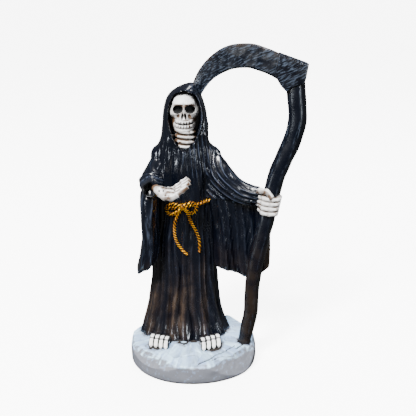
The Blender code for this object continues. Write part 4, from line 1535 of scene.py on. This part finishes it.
@dataclass
class Scythe:
    """The shaft, the blade that curves from it into the hood, and the block between."""

    foot_width: float = 8.2
    top_width: float = 11.0
    blade_thickness: float = 6.2
    block_chamfer: float = 1.7
    block_front: float = -12.6
    block_back: float = 0.6
    # Share of the shaft, x, y, z.
    shaft: Track = field(
        default_factory=lambda: Track(
            (
                (0.00, 32.6, -7.6, -3.0),
                (0.05, 33.2, -7.6, 3.0),
                (0.20, 36.6, -7.4, 22.0),
                (0.33, 37.4, -7.4, 40.0),
                (0.46, 40.2, -7.4, 61.0),
                (0.58, 44.8, -7.6, 83.0),
                (0.70, 49.4, -7.6, 108.0),
                (0.80, 54.2, -7.2, 121.0),
                (0.88, 58.8, -6.8, 133.0),
                (0.94, 61.4, -6.4, 146.0),
                (1.00, 58.6, -6.0, 171.0),
            )
        )
    )
    # Share of the blade from the block to the tip: x, y, z of its middle, half width.
    blade: Track = field(
        default_factory=lambda: Track(
            (
                (0.00, 53.5, -5.6, 172.4, 6.6),
                (0.10, 48.6, -5.0, 175.2, 6.6),
                (0.24, 41.6, -3.6, 178.0, 6.7),
                (0.38, 32.6, -1.8, 180.2, 6.8),
                (0.52, 23.4, 0.4, 179.2, 6.7),
                (0.66, 15.8, 2.6, 175.4, 6.0),
                (0.78, 9.2, 4.4, 169.6, 4.9),
                (0.90, 4.2, 6.0, 161.6, 3.8),
                (1.00, 1.6, 7.0, 154.0, 2.8),
            )
        )
    )
    # Half section of the blade: share of its half width, share of its half thickness.
    bevels: Rows = ((1.0, 0.5), (0.84, 1.0), (0.0, 0.8), (-0.86, 0.42), (-1.0, 0.12))
    block: Rows = (
        (47.2, 170.6),
        (51.4, 163.6),
        (54.0, 161.0),
        (58.6, 163.6),
        (63.2, 165.0),
        (64.8, 167.6),
        (66.2, 176.4),
        (50.4, 182.0),
        (49.2, 179.4),
    )

    def shaft_shape(self, u: float, v: float) -> Dab:
        """The shaft: a whittled bar, nearly round."""
        x, y, z = self.shaft(v)
        angle = math.tau * u
        ahead = heading(self.shaft, v)
        side = ahead.cross(FORWARD).normalized()
        out = side.cross(ahead)
        radius = (self.foot_width + (self.top_width - self.foot_width) * v) / 2
        flat = 0.14 * math.cos(5 * angle + 2.4 * rough(0.0, 0.0, z, 25.0))
        dent = 0.28 * rough(x + 3 * math.cos(angle), 3 * math.sin(angle), z * 0.5, 4.5)
        outward = side * math.cos(angle) + out * math.sin(angle)
        place = Vector((x, y, z)) + outward * (radius + flat + dent)
        rub = ease(0.05, 0.14, flat) * (0.25 + 0.45 * ease(60.0, 130.0, z))
        # Brown low down, partly brown paint and partly a painted warm reflection.
        return at(*place), 0.6 * ease(90.0, 30.0, z), rub, ease(5.0, 0.5, z)

    def blade_shape(self, u: float, v: float) -> Dab:
        """The blade, from its thick back to its thin edge."""
        x, y, z, half = self.blade(v)
        ahead = heading(self.blade, v)
        across = ahead.cross(FORWARD).normalized()
        out = ahead.cross(across).normalized()
        corners = [*self.bevels, *((share, -thick) for share, thick in reversed(self.bevels))]
        where = (u % 1.0) * len(corners)
        i = int(where)
        a, b = corners[i], corners[(i + 1) % len(corners)]
        share = a[0] + (b[0] - a[0]) * (where - i)
        thick = a[1] + (b[1] - a[1]) * (where - i)
        place = Vector((x, y, z)) - across * (half * share) + out * (self.blade_thickness / 2 * thick)
        place += out * (0.14 * rough(*place, 3.0)) * (1 if thick > 0 else -1)
        edge = max(bell(share - 0.84, 0.10), bell(share + 0.86, 0.12))
        # A painted warm reflection along the blade's inner edge.
        warm = 0.8 * ease(-0.55, -0.95, share) * (0.4 + 0.6 * ease(-0.2, 0.3, rough(*place, 5.0)))
        return at(*place), warm, 0.8 + 0.2 * edge, 0.0

    def build(self) -> None:
        """Models the three parts of the scythe."""
        settle("scythe_shaft", skin(84, 330, self.shaft_shape), SCYTHE_BLACK)
        blade = skin(80, 190, self.blade_shape)
        slant(blade)
        settle("scythe_blade", blade, SCYTHE_BLACK, sharp=24.0)
        bm = bmesh.new()
        outline = [bm.verts.new(at(x, self.block_back, z)) for x, z in self.block]
        grown = bmesh.ops.extrude_face_region(bm, geom=[bm.faces.new(outline)])["geom"]
        front = [item for item in grown if isinstance(item, bmesh.types.BMVert)]
        depth = (self.block_front - self.block_back) * UNIT
        bmesh.ops.translate(bm, verts=front, vec=(0.0, depth, 0.0))
        rims = [edge for edge in bm.edges if abs(edge.verts[0].co.y - edge.verts[1].co.y) < JOIN_DISTANCE]
        offset = self.block_chamfer * UNIT
        bmesh.ops.bevel(
            bm, geom=rims, offset=offset, affect="EDGES", segments=2, profile=0.5, material=-1
        )
        bmesh.ops.recalc_face_normals(bm, faces=bm.faces)
        tint(bm, wash=0.1, rub=1.0)
        settle("scythe_block", bm, SCYTHE_BLACK, sharp=24.0)


# Rock base.


@dataclass
class RockBase:
    """The block of rock: chipped round its rim, scored on top and streaked on its side, with painted shade
    on its side and facets and painted highlights on its edges.
    """

    columns: int = 360
    rows: int = 190
    mound: float = 2.4
    # Share of the rows that climb the side, and how far out the top's rim lies.
    side_rows: float = 0.24
    rim_share: float = 0.99
    # Bearings of the deepest painted shade on the side and on the chipped facets.
    right_bearing: float = -0.7
    left_bearing: float = -2.3
    # Share of the side's height, and how far out it lies there.
    side_profile: Track = field(
        default_factory=lambda: Track(((0.0, 0.965), (0.14, 0.995), (0.6, 1.0), (1.0, 0.99)))
    )
    # Share of the way out, and how much of the mound there is.
    mound_profile: Track = field(
        default_factory=lambda: Track(((0.0, 1.0), (0.4, 1.0), (0.74, 0.6), (0.99, 0.0)))
    )
    # Reach of the outline as shares of its half width, every 30 degrees from the right.
    reach: Sequence[float] = (
        1.000, 0.975, 0.960, 0.905, 0.955, 1.000, 0.985, 0.965, 0.915, 0.885, 0.925, 1.005,
    )
    # Facets off the rim: bearing and slope in degrees, depth of the cut.
    chips: Rows = (
        (-131.0, 50.0, 3.6),
        (-112.0, 28.0, 1.6),
        (-86.0, 40.0, 1.3),
        (-50.0, 30.0, 4.8),
        (-33.0, 52.0, 2.6),
        (-4.0, 40.0, 1.8),
        (34.0, 50.0, 1.4),
        (74.0, 42.0, 1.8),
        (112.0, 50.0, 1.4),
        (150.0, 42.0, 2.0),
        (-172.0, 50.0, 1.4),
    )
    # Lines scored on top: from x, y to x, y, and their depth.
    scores: Rows = (
        (2.0, -36.0, 14.0, -25.5, 1.3),
        (14.0, -25.5, 27.0, -13.5, 1.0),
        (11.0, -30.0, 20.0, -25.0, 0.8),
        (27.5, -17.0, 31.5, -12.5, 1.2),
        (-30.0, -20.0, -18.0, -27.0, 0.6),
        (-6.0, -27.0, 2.0, -24.5, 0.5),
    )
    # Size of the flakes on top, how far they tilt, and how high their edges stand.
    flake: float = 12.0
    flake_tilt: float = 0.12
    flake_step: float = 0.42
    # Where the paint of the figure has bled on to the rock: x, y, reach.
    bleeds: Rows = (
        (32.6, -7.6, 4.3),
        (-21.4, -12.2, 6.7),
        (12.0, -13.4, 6.9),
        (-5.6, -12.0, 3.4),
    )
    lump: tuple[float, float, float, float, float] = (-5.6, -12.4, 3.6, 2.4, 2.2)

    def level(self, v: float) -> tuple[float, float, float]:
        """How far out a row lies as a share, its height, and 1 where it is on top, else 0."""
        if v < self.side_rows:
            climb = v / self.side_rows
            return self.side_profile(climb)[0], BASE_THICKNESS * climb, 0.0
        share = self.rim_share * (1.0 - (v - self.side_rows) / (1.0 - self.side_rows))
        return share, BASE_THICKNESS + self.mound * self.mound_profile(share)[0], 1.0

    def chip(self, place: Vector) -> tuple[Vector, float]:
        """Cuts a point back to the facets, and tells how much came off."""
        cut_by = 0.0
        for bearing, slope, depth in self.chips:
            way, lean = math.radians(bearing), math.radians(slope)
            flat = math.cos(lean)
            normal = Vector((math.cos(way) * flat, math.sin(way) * flat, math.sin(lean)))
            corner = self.edge(way) + UPWARD * BASE_THICKNESS
            over = (place - corner).dot(normal) + depth + 0.2 * rough(*place, 2.5)
            if over > 0.0:
                place = place - normal * over
                cut_by = max(cut_by, over)
        return place, cut_by

    def edge(self, angle: float) -> Vector:
        """The outline in a direction, without its height."""
        turns = (math.degrees(angle) % 360.0) / 30.0
        i = int(turns)
        t = turns - i
        a, b, c, d = (self.reach[(i + k) % 12] for k in (-1, 0, 1, 2))
        share = b + 0.5 * t * (c - a + t * (2 * a - 5 * b + 4 * c - d + t * (3 * (b - c) + d - a)))
        spread = BASE_HALF_WIDTH * share
        deep = BASE_HALF_DEPTH / (BASE_HALF_WIDTH * (self.reach[3] + self.reach[9]) / 2)
        return Vector((spread * math.cos(angle), spread * math.sin(angle) * deep, 0.0))

    def score(self, x: float, y: float) -> float:
        """How deep the scored lines are at a place on top."""
        depth = 0.0
        for x0, y0, x1, y1, most in self.scores:
            line, spot = Vector((x1 - x0, y1 - y0)), Vector((x - x0, y - y0))
            share = min(1.0, max(0.0, spot.dot(line) / line.length_squared))
            near = (spot - line * share).length
            depth = max(depth, most * ease(1.0, 0.1, near))
        return depth

    def flakes(self, x: float, y: float) -> tuple[float, float]:
        """The height of the flakes on top, and how near a place is to an edge of one."""
        spot = Vector((x + 0.8 * rough(x, y, 0.0, 4.0), y, 0.0)) / self.flake
        far, cells = noise.voronoi(spot, exponent=2.5)
        tilt = noise.cell_vector(cells[0] * 7.0) - Vector((0.5, 0.5, 0.5))
        away = (spot - cells[0]) * self.flake
        height = 2.0 * (self.flake_tilt * (away.x * tilt.x + away.y * tilt.y) + self.flake_step * tilt.z)
        return height, bell((far[1] - far[0]) * self.flake, 1.1)

    def stain(self, x: float, y: float) -> tuple[float, float]:
        """The dirt and the black along the hem and round what stands on the rock."""
        ragged = 0.5 * rough(x, y, 0.0, 3.0) + 0.3 * rough(x, y, 9.0, 1.2)
        hem = (math.hypot((x + 5.2) / 28.6, (y - 10.0) / 21.4) - 1.0) * 24.0
        near = min(hem, *(math.hypot(x - a, y - b) - reach for a, b, reach in self.bleeds))
        return ease(2.2, 0.0, near + 2.4 * ragged), 0.8 * ease(0.4, -0.4, near + 2.0 * ragged)

    def shape(self, u: float, v: float) -> Dab:
        """The rock's skin, from the rim of its underside up and in to the middle."""
        angle = math.tau * u
        edge = self.edge(angle)
        share, height, top = self.level(v)
        x, y = edge.x * share, edge.y * share
        score, flake, flake_edge_highlight, dirt, soot = 0.0, 0.0, 0.0, 0.0, 0.0
        if top:
            score = self.score(x, y)
            flake, flake_edge_highlight = self.flakes(x, y)
            dirt, soot = self.stain(x, y)
        place = Vector((x, y, height))
        wobble = 0.35 * rough(x, y, height, 6.0) * ease(0.0, 4.0, height)
        place += edge.normalized() * wobble * ease(0.5, 0.9, share)
        place.z += (0.35 * rough(x, y, 3.0, 7.0) - score + flake) * top
        place, cut_by = self.chip(place)
        place.z += 0.10 * rough(*place, 1.4) * top
        # Painted shade on the side, deepest at the right bearing, with streaky variation.
        lower = ease(BASE_THICKNESS - 0.5, BASE_THICKNESS - 2.0, place.z) * (1.0 - top)
        right = bell(math.remainder(angle - self.right_bearing, math.tau), 0.4)
        left = bell(math.remainder(angle - self.left_bearing, math.tau), 0.5)
        side_shade = 1.9 + 0.25 * rough(place.x, place.y, place.z * 0.6, 5.0) + 0.12 * right
        # Painted shade on the chipped facets, deepest at the left bearing, and on the low flakes.
        facet = ease(0.1, 0.6, cut_by) * top
        low = 0.55 * ease(0.0, 0.6, -flake) * top
        wash = max(side_shade * lower, dirt, ease(0.1, 0.6, score), facet * (0.9 + 0.5 * left), low)
        # Painted highlights along the rim, the chip edges, the flake edges and the raised flakes.
        rim = bell(place.z - BASE_THICKNESS + 0.5, 0.8) * ease(0.9, 0.97, share) * (1.0 - facet)
        chip_edge_highlight = bell(cut_by - 0.25, 0.3) * top
        high = 0.8 * ease(-0.05, 0.35, flake) * top * (1.0 - facet)
        rub = max(rim, chip_edge_highlight, flake_edge_highlight * top, high) * (1.0 - dirt)
        soot = max(soot, 0.75 * ease(0.35, 1.0, score), 0.62 * ease(1.0, 0.3, place.z))
        return place * UNIT, wash, rub, soot

    def lump_shape(self, u: float, v: float) -> Dab:
        """The small lump of rock between the feet."""
        x, y, half_width, half_depth, height = self.lump
        angle, high = math.tau * u, math.pi * (v - 0.5)
        place = Vector(
            (
                x + half_width * math.cos(high) * math.cos(angle),
                y + half_depth * math.cos(high) * math.sin(angle),
                1.4 + height * math.sin(high),
            )
        )
        place *= 1.0 + 0.01 * rough(*place, 1.5)
        return at(*place), 0.2, 0.6, 0.0

    def build(self) -> None:
        """Carves and paints the rock."""
        settle("rock_base", skin(self.columns, self.rows, self.shape), ROCK_PAINT, sharp=28.0)
        settle("rock_lump", skin(48, 32, self.lump_shape), ROCK_PAINT)


# Floor, lights and camera.


@dataclass(frozen=True)
class Lamp:
    """A square soft light, which may show in the gloss alone."""

    name: str
    place: Spot
    size: float
    watts: float
    colour: Colour
    glints: bool = False

    def hang(self, aim: Spot) -> None:
        """Hangs the light so that it faces a point.

        Args:
            aim: The point, in metres.
        """
        light = bpy.data.lights.new(self.name, "AREA")
        light.size = self.size
        light.energy = self.watts
        light.color = self.colour
        holder = bpy.data.objects.new(self.name, light)
        holder.location = self.place
        way = Vector(aim) - Vector(self.place)
        holder.rotation_euler = way.to_track_quat("-Z", "Y").to_euler()
        holder.visible_diffuse = not self.glints
        bpy.context.scene.collection.objects.link(holder)


@dataclass
class Studio:
    """A plain pale floor, soft lights and the camera at the photograph's angle."""

    lamps: Sequence[Lamp] = (
        Lamp("key", (-0.50, -0.75, 0.85), 0.22, 24.0, (1.0, 0.99, 0.97)),
        Lamp("fill", (0.80, -0.45, 0.45), 0.35, 5.0, (0.95, 0.97, 1.0)),
        Lamp("top", (0.1, 0.25, 1.1), 0.5, 16.0, (1.0, 1.0, 1.0)),
        Lamp("left_glint", (-0.62, -0.55, 0.05), 0.10, 1.8, (0.85, 0.92, 1.0), glints=True),
        Lamp("right_glint", (0.60, -0.50, 0.12), 0.10, 1.9, (0.85, 0.92, 1.0), glints=True),
        Lamp("high_glint", (0.35, -0.80, 0.55), 0.08, 1.6, (0.90, 0.95, 1.0), glints=True),
    )
    lamp_aim: Spot = (0.0, 0.0, 0.1)
    camera_place: Spot = (9.9, -388.8, 227.5)
    camera_tilt: float = 18.0
    focal_pixels: float = 668.0
    image_pixels: float = 416.0
    floor_half: float = 30.0
    floor_glow: float = 6.0
    # How bright the surroundings are as a light, and as the backdrop.
    surroundings: float = 0.14
    backdrop: float = 9.0
    sun_strength: float = 7.0
    sun_spread: float = 14.0
    sun_tilt: float = 38.0
    sun_turn: float = -25.0

    def floor(self) -> None:
        """A wide matt floor under the base."""
        bm = bmesh.new()
        bmesh.ops.create_grid(bm, x_segments=1, y_segments=1, size=self.floor_half)
        mesh = bpy.data.meshes.new("floor")
        bm.to_mesh(mesh)
        bm.free()
        material = bpy.data.materials.new("pale_floor")
        material.use_nodes = True
        shader = material.node_tree.nodes["Principled BSDF"]
        shader.inputs["Base Color"].default_value = (0.93, 0.93, 0.93, 1.0)
        shader.inputs["Roughness"].default_value = 0.9
        shader.inputs["Emission Color"].default_value = (1.0, 1.0, 1.0, 1.0)
        shader.inputs["Emission Strength"].default_value = self.floor_glow
        mesh.materials.append(material)
        floor = bpy.data.objects.new("floor", mesh)
        floor.location = (0.0, 0.0, LOW.z)
        bpy.context.scene.collection.objects.link(floor)
        floor.visible_glossy = False
        floor.visible_diffuse = False

    def sun(self) -> None:
        """A broad light from the upper left that keeps the floor pale far and near."""
        lamp = bpy.data.lights.new("sun", "SUN")
        lamp.energy = self.sun_strength
        lamp.angle = math.radians(self.sun_spread)
        holder = bpy.data.objects.new("sun", lamp)
        holder.rotation_euler = (math.radians(self.sun_tilt), 0.0, math.radians(self.sun_turn))
        bpy.context.scene.collection.objects.link(holder)

    def build(self) -> None:
        """Sets the floor, the lights, the surroundings and the camera."""
        self.floor()
        for lamp in self.lamps:
            lamp.hang(self.lamp_aim)
        self.sun()
        world = bpy.data.worlds.new("soft_studio")
        world.use_nodes = True
        wires = Wires(world.node_tree)
        lit = world.node_tree.nodes["Background"]
        lit.inputs["Strength"].default_value = self.surroundings
        seen = wires.node("Background", Strength=self.backdrop)
        camera_ray = wires.node("LightPath").outputs["Is Camera Ray"]
        either = wires.node("MixShader", _0=camera_ray, _1=lit.outputs[0], _2=seen.outputs[0])
        for background in (lit, seen):
            background.inputs["Color"].default_value = (1.0, 1.0, 1.0, 1.0)
        wires.feed(world.node_tree.nodes["World Output"].inputs["Surface"], either.outputs[0])
        bpy.context.scene.world = world
        lens = bpy.data.cameras.new("camera")
        lens.sensor_width = 36.0
        lens.lens = self.focal_pixels / self.image_pixels * lens.sensor_width
        camera = bpy.data.objects.new("camera", lens)
        camera.location = Vector(self.camera_place) * UNIT
        camera.rotation_euler = (math.radians(90.0 - self.camera_tilt), 0.0, 0.0)
        bpy.context.scene.collection.objects.link(camera)
        bpy.context.scene.camera = camera


def main() -> None:
    """Builds the studio and the statue's pieces."""
    logging.basicConfig(level=logging.INFO, format="%(message)s")
    Studio().build()
    robe = Robe()
    pieces = (
        robe,
        Sleeves(),
        Skull(),
        OpenHand(),
        Fist(),
        Foot("left_foot", side=-1, middle=-21.3, outer_y=-15.0, inner_y=-18.0),
        Foot("right_foot", side=1, middle=12.0, outer_y=-15.2, inner_y=-19.8),
        RopeGirdle(robe),
        Scythe(),
        RockBase(),
    )
    for piece in pieces:
        piece.build()
        LOG.info("built %s", type(piece).__name__)


if __name__ == "__main__":
    main()
